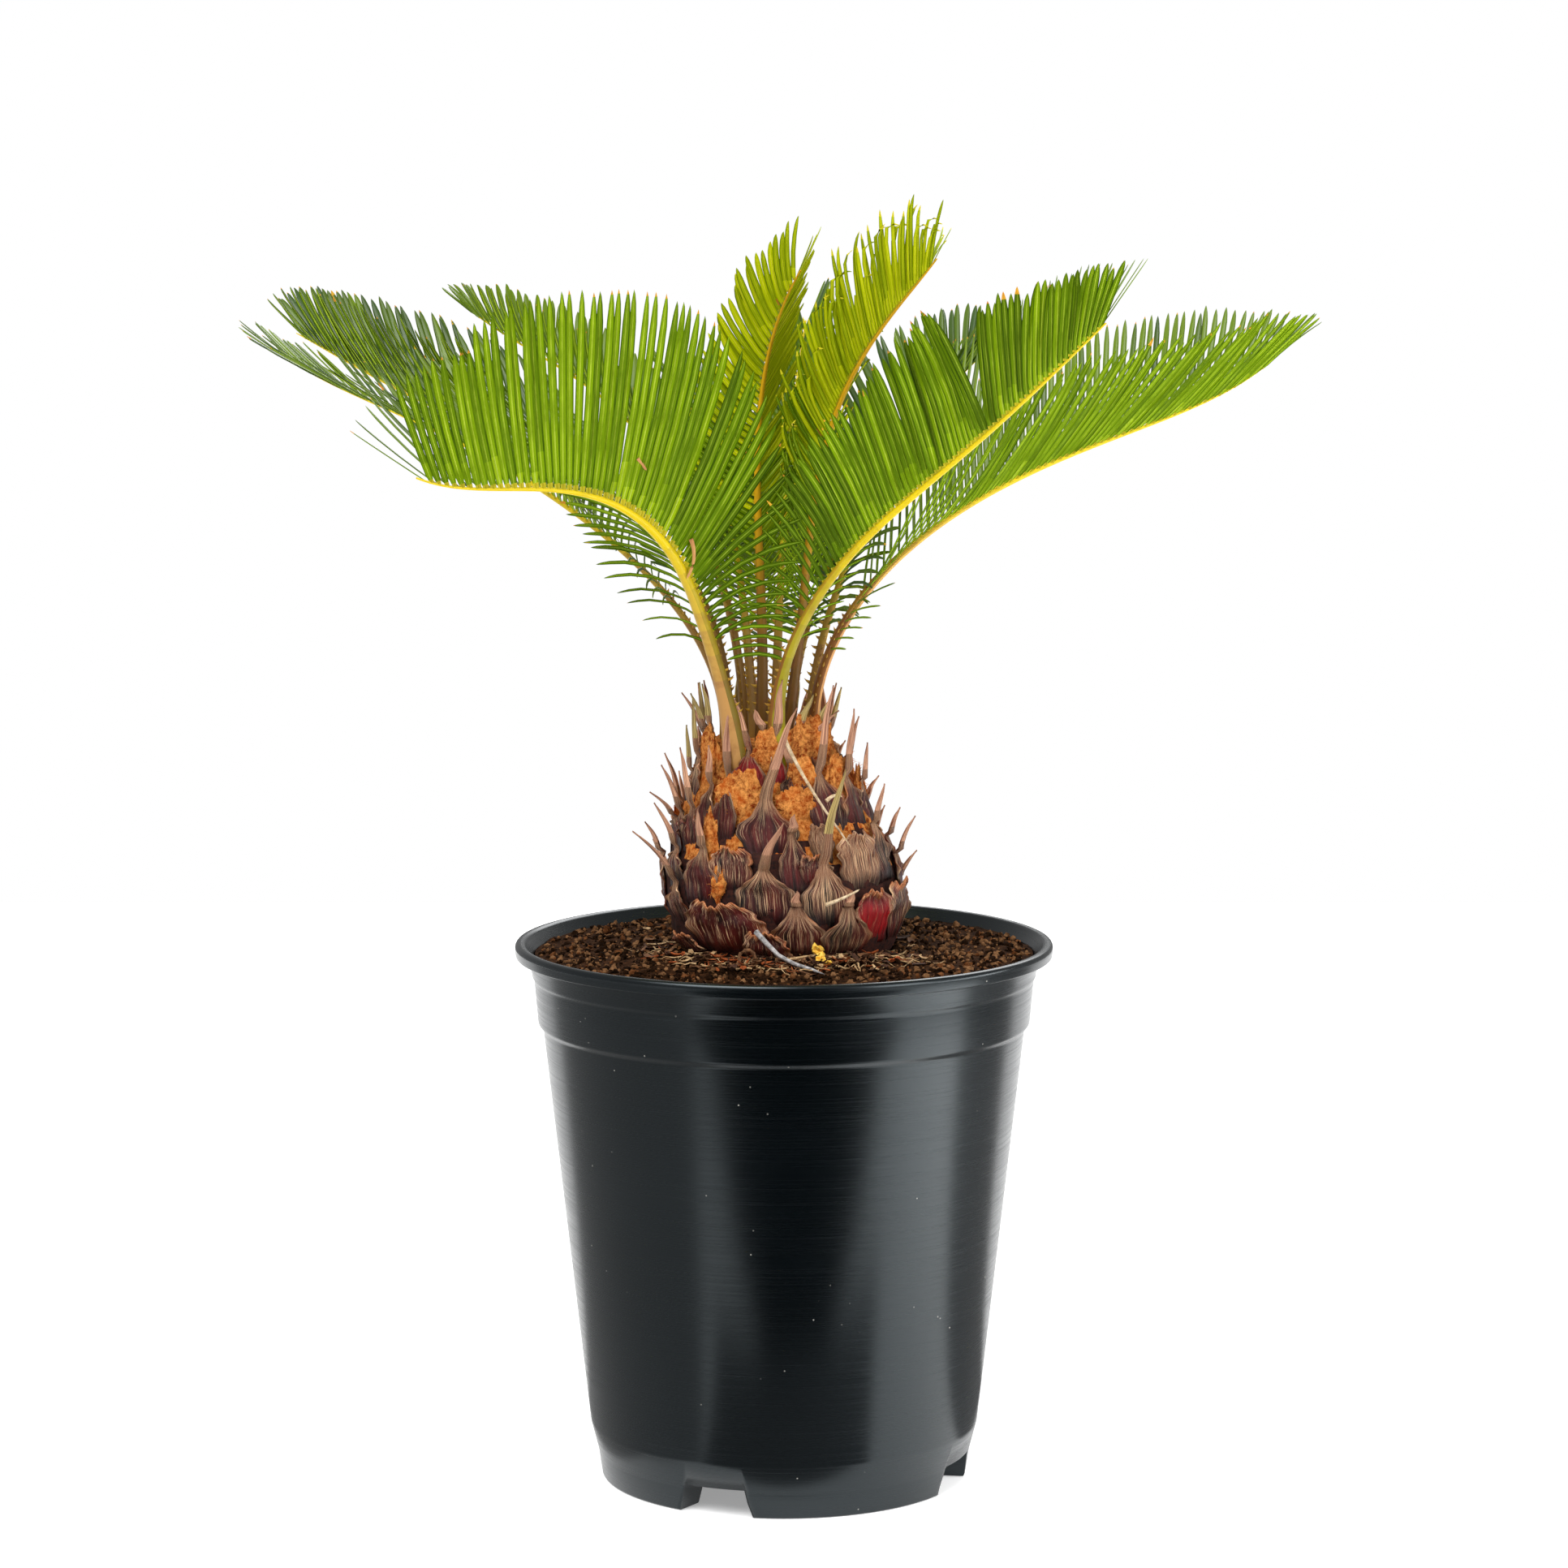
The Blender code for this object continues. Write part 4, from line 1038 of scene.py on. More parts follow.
def soil_litter():
    """Bark bits and fibres round the foot of the caudex, and the single things in front of it."""
    rng = random.Random(SEED + 2)
    gathered = Gathered(*litter_stuffs())
    scattered_bits(gathered, rng)
    scattered_fibres(gathered, rng)
    strand(gathered, [raised(*stop) for stop in TWIG], TWIG_HALF * MM, TWIG_GREY, 8, 0.4)
    strand(gathered, [raised(*stop) for stop in STICK], STICK_HALF * MM, LITTER_TAN, 6)
    strand(gathered, curl_of_bark(), BARK_CURL_HALF * MM, LITTER_BROWN, 6, 0.6)
    form = lump_form()
    for stop in YELLOW_CRUMBS:
        size = rng.uniform(*YELLOW_SIZES) * MM
        crumb(gathered, form, raised(*stop), size, CRUMB_YELLOW, rng)
    shown("soil_litter", gathered.mesh("soil_litter", 45))


# Caudex

def trunk_radius(share):
    """Radius of the trunk at a share of its height."""
    return along(TRUNK_RADII, max(share, 0.0)) * MM


def trunk_axis(share):
    """Middle of the trunk at a share of its height."""
    x = TRUNK_FOOT_X + (TRUNK_TOP_X - TRUNK_FOOT_X) * share
    return Vector((x, 0.0, TRUNK_FOOT + TRUNK_HEIGHT * share))


def around(bearing):
    """Directions out of the trunk and across it, rightwards as seen from outside."""
    angle = math.radians(bearing)
    out = Vector((math.cos(angle), math.sin(angle), 0.0))
    return out, Vector((-out.y, out.x, 0.0))


def on_trunk(bearing, share, lift):
    """A point over the trunk's surface."""
    return trunk_axis(share) + around(bearing)[0] * (trunk_radius(share) + lift)


class LeafBase(NamedTuple):
    """What is left of an old frond: a ridged shield that narrows to a dry spine.

    The place is that of the shield's widest line, as a bearing in degrees and a share of the
    trunk's height. Sizes are in millimetres.
    """

    bearing: float
    share: float
    half: float                   # half-width
    below: float                  # reach under the widest line, and over it to the neck
    above: float
    spine: tuple                  # reach of the spine sideways, up and out, or () if torn off
    look: str


# Dryness, wool and redness of each look of a leaf base
LOOKS = {
    "plum": (0.06, 0.0, 0.04),
    "tan": (0.16, 0.0, 0.0),
    "olive": (0.26, 0.0, 0.0),
    "pale": (0.45, 0.0, 0.0),
    "woolly": (0.4, 0.75, 0.0),
    "crimson": (0.0, 0.0, 0.65),
    "red": (0.0, 0.0, 1.0),
}

# Leaf bases as the front of the plant shows them
FRONT_BASES = [LeafBase(*values) for values in (
    (-152, 0.27, 7.5, 10, 8.5, (0, 21, 18), "tan"),
    (-156, 0.44, 7.0, 10, 7, (0, 18, 9), "tan"),
    (-166, 0.58, 8.0, 9, 6, (0, 10, 10), "plum"),
    (-160, 0.62, 7.0, 9, 5, (0, 19, 8), "plum"),
    (-147, 0.62, 6.5, 10, 8, (0, 24, 5), "plum"),
    (-173, 0.79, 6.0, 8, 5, (0, 19, 2), "olive"),
    (-163, 0.83, 5.5, 9, 8, (0, 24, 2), "olive"),
    (-176, 0.96, 4.5, 7, 5, (0, 17, 9), "tan"),
    (-160, 0.98, 4.0, 7, 6, (0, 15, 6), "olive"),
    (-150, 0.96, 4.0, 7, 8, (0, 19, 4), "olive"),
    (-122, 0.69, 5.6, 11, 15, (1, 30, 2), "plum"),
    (-136, 0.69, 4.6, 11, 11, (0, 16, 1), "plum"),
    (-133, 0.40, 10.0, 11, 12, (1, 16, 3), "plum"),
    (-115, 0.47, 9.0, 12, 8, (), "tan"),
    (-107, 0.87, 6.6, 8, 9.5, (-8, 24, 2), "crimson"),
    (-94, 1.01, 3.4, 6, 5, (-3, 9, 1), "woolly"),
    (-95, 0.63, 12.0, 11, 12, (13, 37, 5), "plum"),
    (-120, 0.19, 17.5, 14, 11, (), "plum"),
    (-98, 0.36, 12.0, 14, 8.5, (9, 20, 6), "tan"),
    (-148, 0.06, 9.0, 5, 7, (), "plum"),
    (-84, 0.16, 11.8, 11, 11.5, (0, 7, 2), "tan"),
    (-82, 0.48, 6.8, 12, 12, (1, 8, 2), "plum"),
    (-72, 0.46, 6.2, 9, 6, (), "plum"),
    (-66, 0.57, 4.6, 8, 8, (), "pale"),
    (-68, 0.34, 11.0, 14, 12, (7, 38, 5), "olive"),
    (-45, 0.50, 11.0, 14, 10, (), "pale"),
    (-22, 0.50, 10.0, 12, 11, (0, 16, 4), "tan"),
    (-43, 0.23, 10.5, 12, 11, (), "red"),
    (-18, 0.23, 11.0, 14, 13, (), "tan"),
    (-59, 0.15, 11.0, 11, 11.5, (0, 7, 2), "tan"),
    (-54, 0.73, 9.6, 12, 12.5, (4, 35, 4), "plum"),
    (-28, 0.72, 10.0, 10, 11, (0, 27, 3), "plum"),
    (-45, 0.97, 4.6, 7, 5, (5, 11, 9), "woolly"),
    (-8, 0.71, 9.0, 9, 8, (0, 16, 2), "plum"),
    (-85, 0.89, 3.4, 8, 10, (3, 26, 2), "crimson"),
    (-40, 1.0, 3.0, 6, 4, (3, 15, 5), "olive"),
    (-75, 0.82, 5.2, 10, 8, (-2, 9, 1), "plum"),
    (-61, 1.0, 3.0, 7, 5, (5, 15, 2), "olive"),
    (-2, 0.36, 10.0, 11, 9, (0, 15, 7), "plum"),
    (-100, 0.08, 9.0, 6, 9, (), "plum"),
)]
FRONT_SECTOR = (-178, 4)          # bearings that those leaf bases cover

# Leaf bases round the back, in mm and degrees
BACK_LOOKS = ("plum", "plum", "plum", "tan", "tan", "crimson")
BACK_HALF_LOW, BACK_HALF_LESS = 11.5, 5.5      # half-width at the foot, and its loss to the top
BACK_REACH = 11
BACK_TORN = 0.2                                # share that has lost its spine
BACK_BRACTS = 9
BRACT_SECTOR = (10, 172)
BRACT_RISES = (14, 24)
BRACT_SHAPE = (0.96, 3.8, 7, 6)                # share, half-width and reach below and above


def back_bases():
    """Leaf bases on a spiral round the sides and back, with bracts over them."""
    rng = random.Random(SEED)
    bases = []
    for number in range(SCALES):
        share = LOWEST_SCALE + (HIGHEST_SCALE - LOWEST_SCALE) * number / (SCALES - 1)
        bearing = (number * GOLDEN_ANGLE + 180) % 360 - 180
        spine = rng.uniform(-5, 5), rng.uniform(*SPINE_RISES), rng.uniform(1, 4) + 6 * (1 - share)
        look = rng.choice(BACK_LOOKS)
        half = (BACK_HALF_LOW - BACK_HALF_LESS * share) * rng.uniform(0.9, 1.1)
        if rng.random() < BACK_TORN:
            spine = ()
        if not FRONT_SECTOR[0] < bearing < FRONT_SECTOR[1]:
            bases.append(LeafBase(bearing, share, half, BACK_REACH, BACK_REACH, spine, look))
    first, last = BRACT_SECTOR
    for number in range(BACK_BRACTS):
        bearing = first + (last - first) * number / (BACK_BRACTS - 1) + rng.uniform(-5, 5)
        spine = rng.uniform(-3, 3), rng.uniform(*BRACT_RISES), rng.uniform(1, 5)
        bases.append(LeafBase(bearing, *BRACT_SHAPE, spine, rng.choice(("olive", "tan"))))
    return bases


# Half-width and lift in mm along a shield, from its foot to its neck or torn edge
SHIELD_OUTLINE = ((0.0, 0.82), (0.22, 0.96), (0.4, 1.0), (0.5, 0.9), (0.64, 0.6), (0.8, 0.36),
                  (0.92, 0.24), (1.0, 0.2))
TORN_OUTLINE = ((0.0, 0.8), (0.3, 0.98), (0.55, 1.0), (0.82, 0.88), (1.0, 0.6))
SHIELD_LIFT = ((0.0, -1.4), (0.22, 0.6), (0.42, 1.9), (0.62, 2.7), (0.8, 3.0), (1.0, 3.3))
TORN_LIFT = ((0.0, -1.4), (0.25, 1.3), (0.5, 2.9), (0.78, 3.2), (0.9, 4.0), (1.0, 5.6))
SPINE_OUTLINE = ((0.0, 2.6), (0.2, 2.2), (0.5, 1.7), (0.8, 1.05), (1.0, 0.14))
SPINE_KEEL = 0.85                 # how far a spine's middle stands out, in its half-widths
SPINE_BARK = 0.3                  # share of a spine, from its neck, that looks like its shield
WIDEST = 0.4                      # share of a shield's length at which it is widest
LOWEST_EDGE = 0.012               # share of the trunk's height where the lowest shields stop
RAGGED_WAVES = ((0.05, 11), (0.04, 27))        # of a shield's margins
TORN_BITE = 0.2                   # how deep a torn edge is bitten, as a share of the shield
BITE_WAVES = ((0.3, 5), (0.2, 17))
FOLD_PACES = (21, 37)             # of the folds that run along a shield
SHIELD_ROWS = 18
SPINE_ROWS = 9
SHIELD_COLUMNS = 34
RIDGE = 0.2 * MM                  # height of a fold
CRUMPLE = 1.4 * MM                # how far old bark is pushed in and out
CRUMPLE_SCALE = 110
FULL_LEAST, FULL_HALF = 0.55, 24  # how far leaf bases stand out, and half-width in mm for 1 more
SPINE_SWAY = 0.6                  # mm
BASE_THICKNESS = 0.6 * MM


def fullness(base):
    """How far a leaf base stands out: the wide ones more."""
    return FULL_LEAST + base.half / FULL_HALF


def crumpled(point, out):
    """A point moved in or out as old bark is crumpled."""
    return point + out * noise.noise(point * CRUMPLE_SCALE) * CRUMPLE


def shield_half(base, u, part, waves):
    """Half-width of a shield at a part of its length, with ragged edges."""
    broad, fine = RAGGED_WAVES
    ragged = wave(broad, part, waves[0]) + wave(fine, part, waves[1])
    outline = SHIELD_OUTLINE if base.spine else TORN_OUTLINE
    return base.half * MM * along(outline, part) * (1 + ragged * abs(u))


def shield_share(base, u, part, waves):
    """Share of the trunk's height at a place of a shield. A torn one ends in bites."""
    reach = part
    if not base.spine:
        broad, fine = BITE_WAVES
        bite = 0.5 + wave(broad, u, waves[0]) + wave(fine, u, waves[2])
        reach = part * (1 - TORN_BITE * bite)
    if reach < WIDEST:
        rise = -base.below * (WIDEST - reach) / WIDEST
    else:
        rise = base.above * (reach - WIDEST) / (1 - WIDEST)
    return max(base.share + rise * MM / TRUNK_HEIGHT, LOWEST_EDGE)


def shield_lift(base, u, part, folds, margin, phase):
    """Height of a shield over the trunk: crowned, folded, and turned up at its margins."""
    lift = along(SHIELD_LIFT if base.spine else TORN_LIFT, part) * MM * fullness(base)
    lift *= 1 - 0.5 * u * u
    lift += margin * (1.3 + 0.9 * math.sin(19 * part + phase)) * MM
    return lift + RIDGE * folds * ease(1.05, 0.6, part) * (1 - u**4)


def shield_tint_and_shade(base, u, part, folds, margin, point):
    """How dry, woolly and red a place of a shield is, and how much painted shade it gets.

    It is dry towards its neck and woolly at its torn lip and margins. The crests of its folds
    are paler, partly as dry streaks and partly as a painted highlight. Painted shade falls in
    the furrows between its folds, at its foot under the spines of lower shields, and along its
    lower margins.
    """
    dry, woolly, red = LOOKS[base.look]
    neck = ease(0.55, 1.0, part) if base.spine else 0.0
    lip = 0.0 if base.spine else ease(0.86, 1.0, part)
    # The crests of the folds are paler: partly dry streaks, partly a painted highlight.
    dry += 0.46 * neck * (1 - 0.6 * abs(u)) + 0.14 * max(0.0, folds) * ease(0.1, 0.6, part)
    dry += 0.5 * margin - 0.25 * ease(0.3, 0.0, part)
    dry += 0.5 * lip
    woolly += 0.6 * lip * (base.look != "pale")
    woolly += 0.7 * margin * ease(0.1, 0.5, noise.noise(point * 60))
    red *= ease(1.15, 0.5, part) if base.spine else ease(1.0, 0.45, part)
    # Painted shade: at the foot, in the furrows between the folds, and along the lower margins.
    dark = 0.75 * ease(0.3, 0.0, part) + 0.5 * max(0.0, -folds) * ease(0.9, 0.5, part)
    dark += 0.5 * ease(0.75, 1.0, abs(u)) * ease(0.8, 0.4, part)
    return min(max(dry, 0.0), 1.0), min(woolly, 1.0), red, min(dark, 0.85)


def shield_point(base, u, part, waves):
    """A point of a shield with its tint and painted shade; u runs across it from -1 to 1, part up
    to its neck.
    """
    share = shield_share(base, u, part, waves)
    broad, fine = FOLD_PACES
    folds = 0.5 * math.cos(broad * u + waves[0]) + 0.5 * math.cos(fine * u + waves[1])
    margin = ease(0.7, 1.0, abs(u)) * ease(0.2, 0.45, part) * ease(1.0, 0.7, part)
    half = shield_half(base, u, part, waves)
    angle = base.bearing + math.degrees(u * half / trunk_radius(share))
    lift = shield_lift(base, u, part, folds, margin, waves[2])
    point = crumpled(on_trunk(angle, share, lift), around(angle)[0])
    return point, shield_tint_and_shade(base, u, part, folds, margin, point)


def spine_path(base, part, phase):
    """A point on the middle line of a spine, which starts at its neck and bends outwards."""
    out, across = around(base.bearing)
    sideways, up, outward = (value * MM for value in base.spine)
    share = base.share + base.above * MM / TRUNK_HEIGHT
    lift = SHIELD_LIFT[-1][1] * MM * fullness(base)
    neck = crumpled(on_trunk(base.bearing, share, lift), out)
    knee = neck + UP * up * 0.5 + across * sideways * 0.3 + out * outward * 0.1
    tip = neck + UP * up + across * sideways + out * outward
    rest = 1 - part
    middle = neck * rest * rest + knee * 2 * part * rest + tip * part * part
    return middle + across * math.sin(6 * part + phase) * SPINE_SWAY * MM * part * rest * 4


def spine_point(base, u, part, waves):
    """A point of a leaf base's spine with its tint, and painted shade along its edges."""
    out, across = around(base.bearing)
    neck_half = base.half * SHIELD_OUTLINE[-1][1]
    half = min(along(SPINE_OUTLINE, part), neck_half + part * 4) * MM
    point = spine_path(base, part, waves[1]) + across * u * half
    point += out * SPINE_KEEL * (1 - u * u) * half
    dryness, _, redness = LOOKS[base.look]
    dry = dryness * 0.5 + 0.3 + 0.6 * ease(0.0, 0.6, part)
    red = redness * 0.6 * ease(0.5, 0.0, part)
    # The alpha is painted shade along the spine's edges.
    return point, (min(dry, 1.0), 0.0, red, 0.3 * ease(0.6, 1.0, abs(u)))


def caudex_scales(name, bases, barks):
    """Leaf bases as curved ridged sheets, to which a modifier gives their thickness."""
    rng = random.Random(SEED + 4)
    bm = bmesh.new()
    uv = bm.loops.layers.uv.new("base_map")
    tint = bm.verts.layers.float_color.new("tint")
    for number, base in enumerate(bases):
        waves = random_phases(rng)
        rows = SHIELD_ROWS + (SPINE_ROWS if base.spine else 0)
        neck = SHIELD_ROWS / rows
        grid = bmesh.ops.create_grid(bm, x_segments=SHIELD_COLUMNS, y_segments=rows, size=1.0)
        place = {}
        for vert in grid["verts"]:
            u, v = vert.co.x, (vert.co.y + 1) / 2
            place[vert] = (u, v)
            if v <= neck + 0.001:
                vert.co, shade = shield_point(base, u, min(v / neck, 1.0), waves)
            else:
                vert.co, shade = spine_point(base, u, (v - neck) / (1 - neck), waves)
            vert[tint] = shade
        for face in {face for vert in grid["verts"] for face in vert.link_faces}:
            along_spine = (min(place[vert][1] for vert in face.verts) - neck) / (1.001 - neck)
            if along_spine > SPINE_BARK:
                face.material_index = 2 if base.look == "olive" else 1
            for loop in face.loops:
                u, v = place[loop.vert]
                loop[uv].uv = (u * 0.5 + 3.1 * number, v + 1.7 * number)
    scales = shown(name, mesh_from(bm, name, barks, 60))
    thick = scales.modifiers.new("thickness", "SOLIDIFY")
    thick.thickness = BASE_THICKNESS
    thick.offset = -1.0
    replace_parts(scales, "caudex")


CORE_SIDES = 96
CORE_RINGS = 36
CORE_INSET = 0.6 * MM
WOOL_LINE = 0.52                  # share of the trunk's height over which the core is woolly
WOOL_LINE_WANDER = 0.25


def core_shell():
    """Rings of the trunk joined one to the next, flat at both ends."""
    bm = bmesh.new()
    rings = []
    for index in range(CORE_RINGS + 1):
        share = index / CORE_RINGS
        ring = bmesh.ops.create_circle(bm, segments=CORE_SIDES,
                                       radius=trunk_radius(share) - CORE_INSET,
                                       matrix=Matrix.Translation(trunk_axis(share)))
        rings.append(ring["verts"])
    for lower, upper in zip(rings, rings[1:]):
        for i in range(CORE_SIDES):
            j = (i + 1) % CORE_SIDES
            bm.faces.new((lower[i], lower[j], upper[j], upper[i]))
    bm.faces.new(rings[0][::-1])
    bm.faces.new(rings[-1])
    bmesh.ops.recalc_face_normals(bm, faces=bm.faces)
    return bm


def caudex_core(wool, gap_bark):
    """The trunk behind the leaf bases: woolly above, dark and rough below."""
    bm = core_shell()
    for face in bm.faces:
        middle = face.calc_center_median()
        line = WOOL_LINE + WOOL_LINE_WANDER * noise.noise(middle * 80)
        face.material_index = 0 if middle.z > TRUNK_FOOT + line * TRUNK_HEIGHT else 1
    for vert in bm.verts:
        if vert.co.z > TRUNK_FOOT + 0.1 * MM:
            rough = 0.9 * noise.noise(vert.co * 160) + 0.7 * noise.noise(vert.co * 520)
            vert.co += vert.normal * rough * MM
    mesh = mesh_from(bm, "caudex_core", [wool, gap_bark], 60)
    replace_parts(shown("caudex_core", mesh), "caudex")


# Cushions of wool between the leaf bases: bearing, share of the height, half-width and
# half-height in mm
FRONT_WOOL = ((-110, 0.75, 7.6, 9.5), (-93, 0.94, 4.6, 8.5), (-76, 0.73, 5.6, 7.0),
              (-53, 0.96, 7.5, 12.0), (-148, 0.92, 5.0, 11.0), (-36, 0.84, 4.8, 7.5),
              (-130, 0.58, 2.8, 8.5), (-122, 0.39, 2.6, 5.5), (-68, 0.84, 4.5, 8.0),
              (-66, 0.98, 4.5, 7.0), (-120, 0.93, 4.0, 6.0), (-30, 0.97, 4.5, 7.0))
BACK_WOOL = 12
BACK_WOOL_FIRST, BACK_WOOL_SECTOR = -6, 190
HAIR_SHARE = 0.07                 # share of a cushion's points that carry a hair
HAIR_SPREAD = 0.7
HAIR_BEND = 0.3
HAIR_HALF = 0.14 * MM
HAIR_LENGTHS = (0.8, 2.0)         # mm


def wool_cushions():
    """Places of the cushions: those of the front, and others like them round the back."""
    rng = random.Random(SEED + 5)
    places = list(FRONT_WOOL)
    for index in range(BACK_WOOL):
        bearing = index * BACK_WOOL_SECTOR / BACK_WOOL + BACK_WOOL_FIRST + rng.uniform(-6, 6)
        places.append((bearing, rng.uniform(0.6, 0.97), rng.uniform(4.0, 7.0),
                       rng.uniform(5.0, 10.0)))
    return places


def wool_cushion(bm, place, rng):
    """Add a lumpy cushion of wool, and return the feet and directions of the hairs on it."""
    bearing, share, half_width, half_height = place
    out, across = around(bearing)
    middle = on_trunk(bearing, min(share, 1.0), 0.5 * MM)
    hairs = []
    for vert in bmesh.ops.create_icosphere(bm, subdivisions=5, radius=1.0)["verts"]:
        way = vert.co.copy()
        lump = 1 + 0.5 * noise.noise(way * 1.6 + out * 7) + 0.16 * noise.noise(way * 5 + out * 3)
        spot = (across * way.x * half_width * 1.25 + UP * way.z * half_height * 1.2
                + out * way.y * abs(way.y) * 1.5) * MM
        vert.co = middle + spot * lump
        grain = noise.noise(vert.co * 420) + 0.8 * noise.noise(vert.co * 1300)
        vert.co += spot.normalized() * grain * 0.6 * MM
        if way.y > 0.1 and rng.random() < HAIR_SHARE:
            normal = (across * way.x + UP * way.z + out * way.y * 1.6).normalized()
            hairs.append((vert.co.copy(), normal))
    return hairs


def wool_hairs(hairs, rng):
    """Short bent hairs that stand out of the cushions."""
    strands = Gathered(dry_stuff("wool_hair", colour(150, 70, 20), colour(232, 158, 80)))
    for spot, normal in hairs:
        way = (normal + random_way(rng, HAIR_SPREAD)).normalized()
        length = rng.uniform(*HAIR_LENGTHS) * MM
        bend = random_way(rng) * HAIR_BEND
        path = [spot - way * 0.4 * MM, spot + way * length * 0.5, spot + (way + bend) * length]
        strand(strands, path, HAIR_HALF, 0, sides=3)
    shown("wool_hairs", strands.mesh("wool_hairs", 60))


def caudex_wool(wool):
    """Lumpy cushions of wool between the leaf bases, with short hairs."""
    rng = random.Random(SEED + 6)
    bm = bmesh.new()
    hairs = []
    for place in wool_cushions():
        hairs += wool_cushion(bm, place, rng)
    bmesh.ops.recalc_face_normals(bm, faces=bm.faces)
    mesh = mesh_from(bm, "caudex_wool", [wool], 60)
    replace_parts(shown("caudex_wool", mesh), "caudex")
    wool_hairs(hairs, rng)


# Long dry fibres that lie over the caudex, each through (bearing, share, lift in mm)
LOOSE_FIBRES = (((-79, 1.06, 9), (-70, 0.85, 9), (-54, 0.55, 8)),
                ((-72, 0.31, 7), (-64, 0.34, 9), (-55, 0.37, 7.5)),
                ((-59, 0.76, 6), (-53, 0.80, 8), (-47, 0.77, 6)),
                ((60, 0.4, 7), (78, 0.7, 8), (96, 1.0, 6)),
                ((150, 0.3, 7), (138, 0.5, 9), (120, 0.72, 7)))
LOOSE_FIBRE_HALF = 0.85 * MM


def caudex_fibres():
    """Loose fibres of old fronds caught among the leaf bases."""
    gathered = Gathered(dry_stuff("fibre_straw", colour(170, 140, 104), colour(232, 210, 176)))
    for places in LOOSE_FIBRES:
        path = [on_trunk(bearing, share, lift * MM) for bearing, share, lift in curve(places)]
        strand(gathered, path, LOOSE_FIBRE_HALF, 0, 6, 0.35)
    shown("caudex_fibres", gathered.mesh("caudex_fibres"))


# Fronds

SEAT_LIFT = -1.5 * MM             # a seated petiole starts this far under the trunk's surface
SEAT_FADE = (0.32, 0.02)          # shares of the rib between which its shift to the seat grows
RIB_TIP = 0.14                    # thickness left at the rib's tip, as a share of its foot's
FLARE_FADE = (0.16, 0.0)          # shares of the rib between which a seated foot widens


class Rib:
    """The path of a frond's rib, read at a share of its length."""

    def __init__(self, frond):
        self.frond = frond
        angle = math.radians(frond.foot[0])
        radius = frond.foot[1] * MM
        self.length = frond.length * MM
        self.points = [Vector((TRUNK_TOP_X + radius * math.cos(angle),
                               radius * math.sin(angle), frond.foot_height * MM))]
        for step in range(RIB_STEPS):
            way = self.frame((step + 0.5) / RIB_STEPS)[0]
            self.points.append(self.points[-1] + way * self.length / RIB_STEPS)
        self.shift = Vector()
        if frond.seat:
            self.shift = on_trunk(*frond.seat, SEAT_LIFT) - self.points[0]

    def frame(self, share):
        """Directions along the rib, to its right side and up from its face."""
        share = max(share, 0.0)
        rise = math.radians(blend(self.frond.rise, share))
        bearing = math.radians(self.frond.bearing + self.frond.turn * share)
        level = Vector((math.cos(bearing), math.sin(bearing), 0.0))
        way = level * math.cos(rise) + UP * math.sin(rise)
        side = Vector((level.y, -level.x, 0.0))
        face = UP * math.cos(rise) - level * math.sin(rise)
        return way, side, face

    def point(self, share):
        """A point of the rib. Before its start it goes straight on down."""
        if share < 0:
            return self.points[0] + self.frame(0)[0] * self.length * share + self.shift
        place = min(share, 1.0) * RIB_STEPS
        index = min(int(place), RIB_STEPS - 1)
        point = self.points[index].lerp(self.points[index + 1], place - index)
        return point + self.shift * ease(*SEAT_FADE, share)

    def half(self, share):
        """Half-width of the petiole and rib."""
        taper = RIB_TIP + (1 - RIB_TIP) * (1 - max(share, 0.0))**1.1
        flare = PETIOLE_FLARE * ease(*FLARE_FADE, share) * bool(self.frond.seat)
        return PETIOLE_HALF * self.frond.stout * taper + flare

    def leafy(self, place):
        """Share of the whole rib at a place of its part with leaflets."""
        return self.frond.bare + place * (1 - self.frond.bare)


PETIOLE_SUNK = 0.05               # share of the rib that goes down into the wool
PRICKLED = (0.2, 1.1)             # from and to, as shares of the rib's bare part
PRICKLE_SPACING = 3.4 * MM
PRICKLE_GAPS = (0.8, 1.3)         # shares of that spacing
PRICKLE_LENGTHS = (1.3, 2.8)      # mm
PRICKLE_HALF = 0.5 * MM
PRICKLE_SKIN = 2 * RIB_SHADES     # its finish, after the rib's own


def rib_ring(rib, share):
    """The rib's section: round below, flatter on its face."""
    _, side, face = rib.frame(share)
    half = rib.half(share)
    middle = rib.point(share)
    ring = []
    for index in range(RIB_SIDES):
        angle = math.tau * (index + 0.5) / RIB_SIDES
        height = math.sin(angle)
        height = height if height < 0.5 else 0.5 + (height - 0.5) * 0.3
        ring.append(middle + side * math.cos(angle) * half * 1.05 + face * height * half)
    return ring


def rib_surface(rib):
    """Points and faces of a closed rib, with the finish of each face."""
    bare = rib.frond.bare
    points, faces, finishes = [], [], []
    for index in range(RIB_RINGS + 1):
        share = -PETIOLE_SUNK + (1 + PETIOLE_SUNK) * index / RIB_RINGS
        points += rib_ring(rib, share)
        if index == RIB_RINGS:
            break
        shade = ease(bare * 0.5, bare + 0.34, share) * (RIB_SHADES - 1)
        for i in range(RIB_SIDES):
            j = (i + 1) % RIB_SIDES
            low = index * RIB_SIDES
            faces.append((low + i, low + j, low + RIB_SIDES + j, low + RIB_SIDES + i))
            above = i < RIB_SIDES / 2 or i in (RIB_SIDES / 2, RIB_SIDES - 1)
            finishes.append(round(shade) + RIB_SHADES * above)
    faces.append(tuple(reversed(range(RIB_SIDES))))
    faces.append(tuple(range(len(points) - RIB_SIDES, len(points))))
    finishes += [0, RIB_SHADES - 1]
    return points, faces, finishes


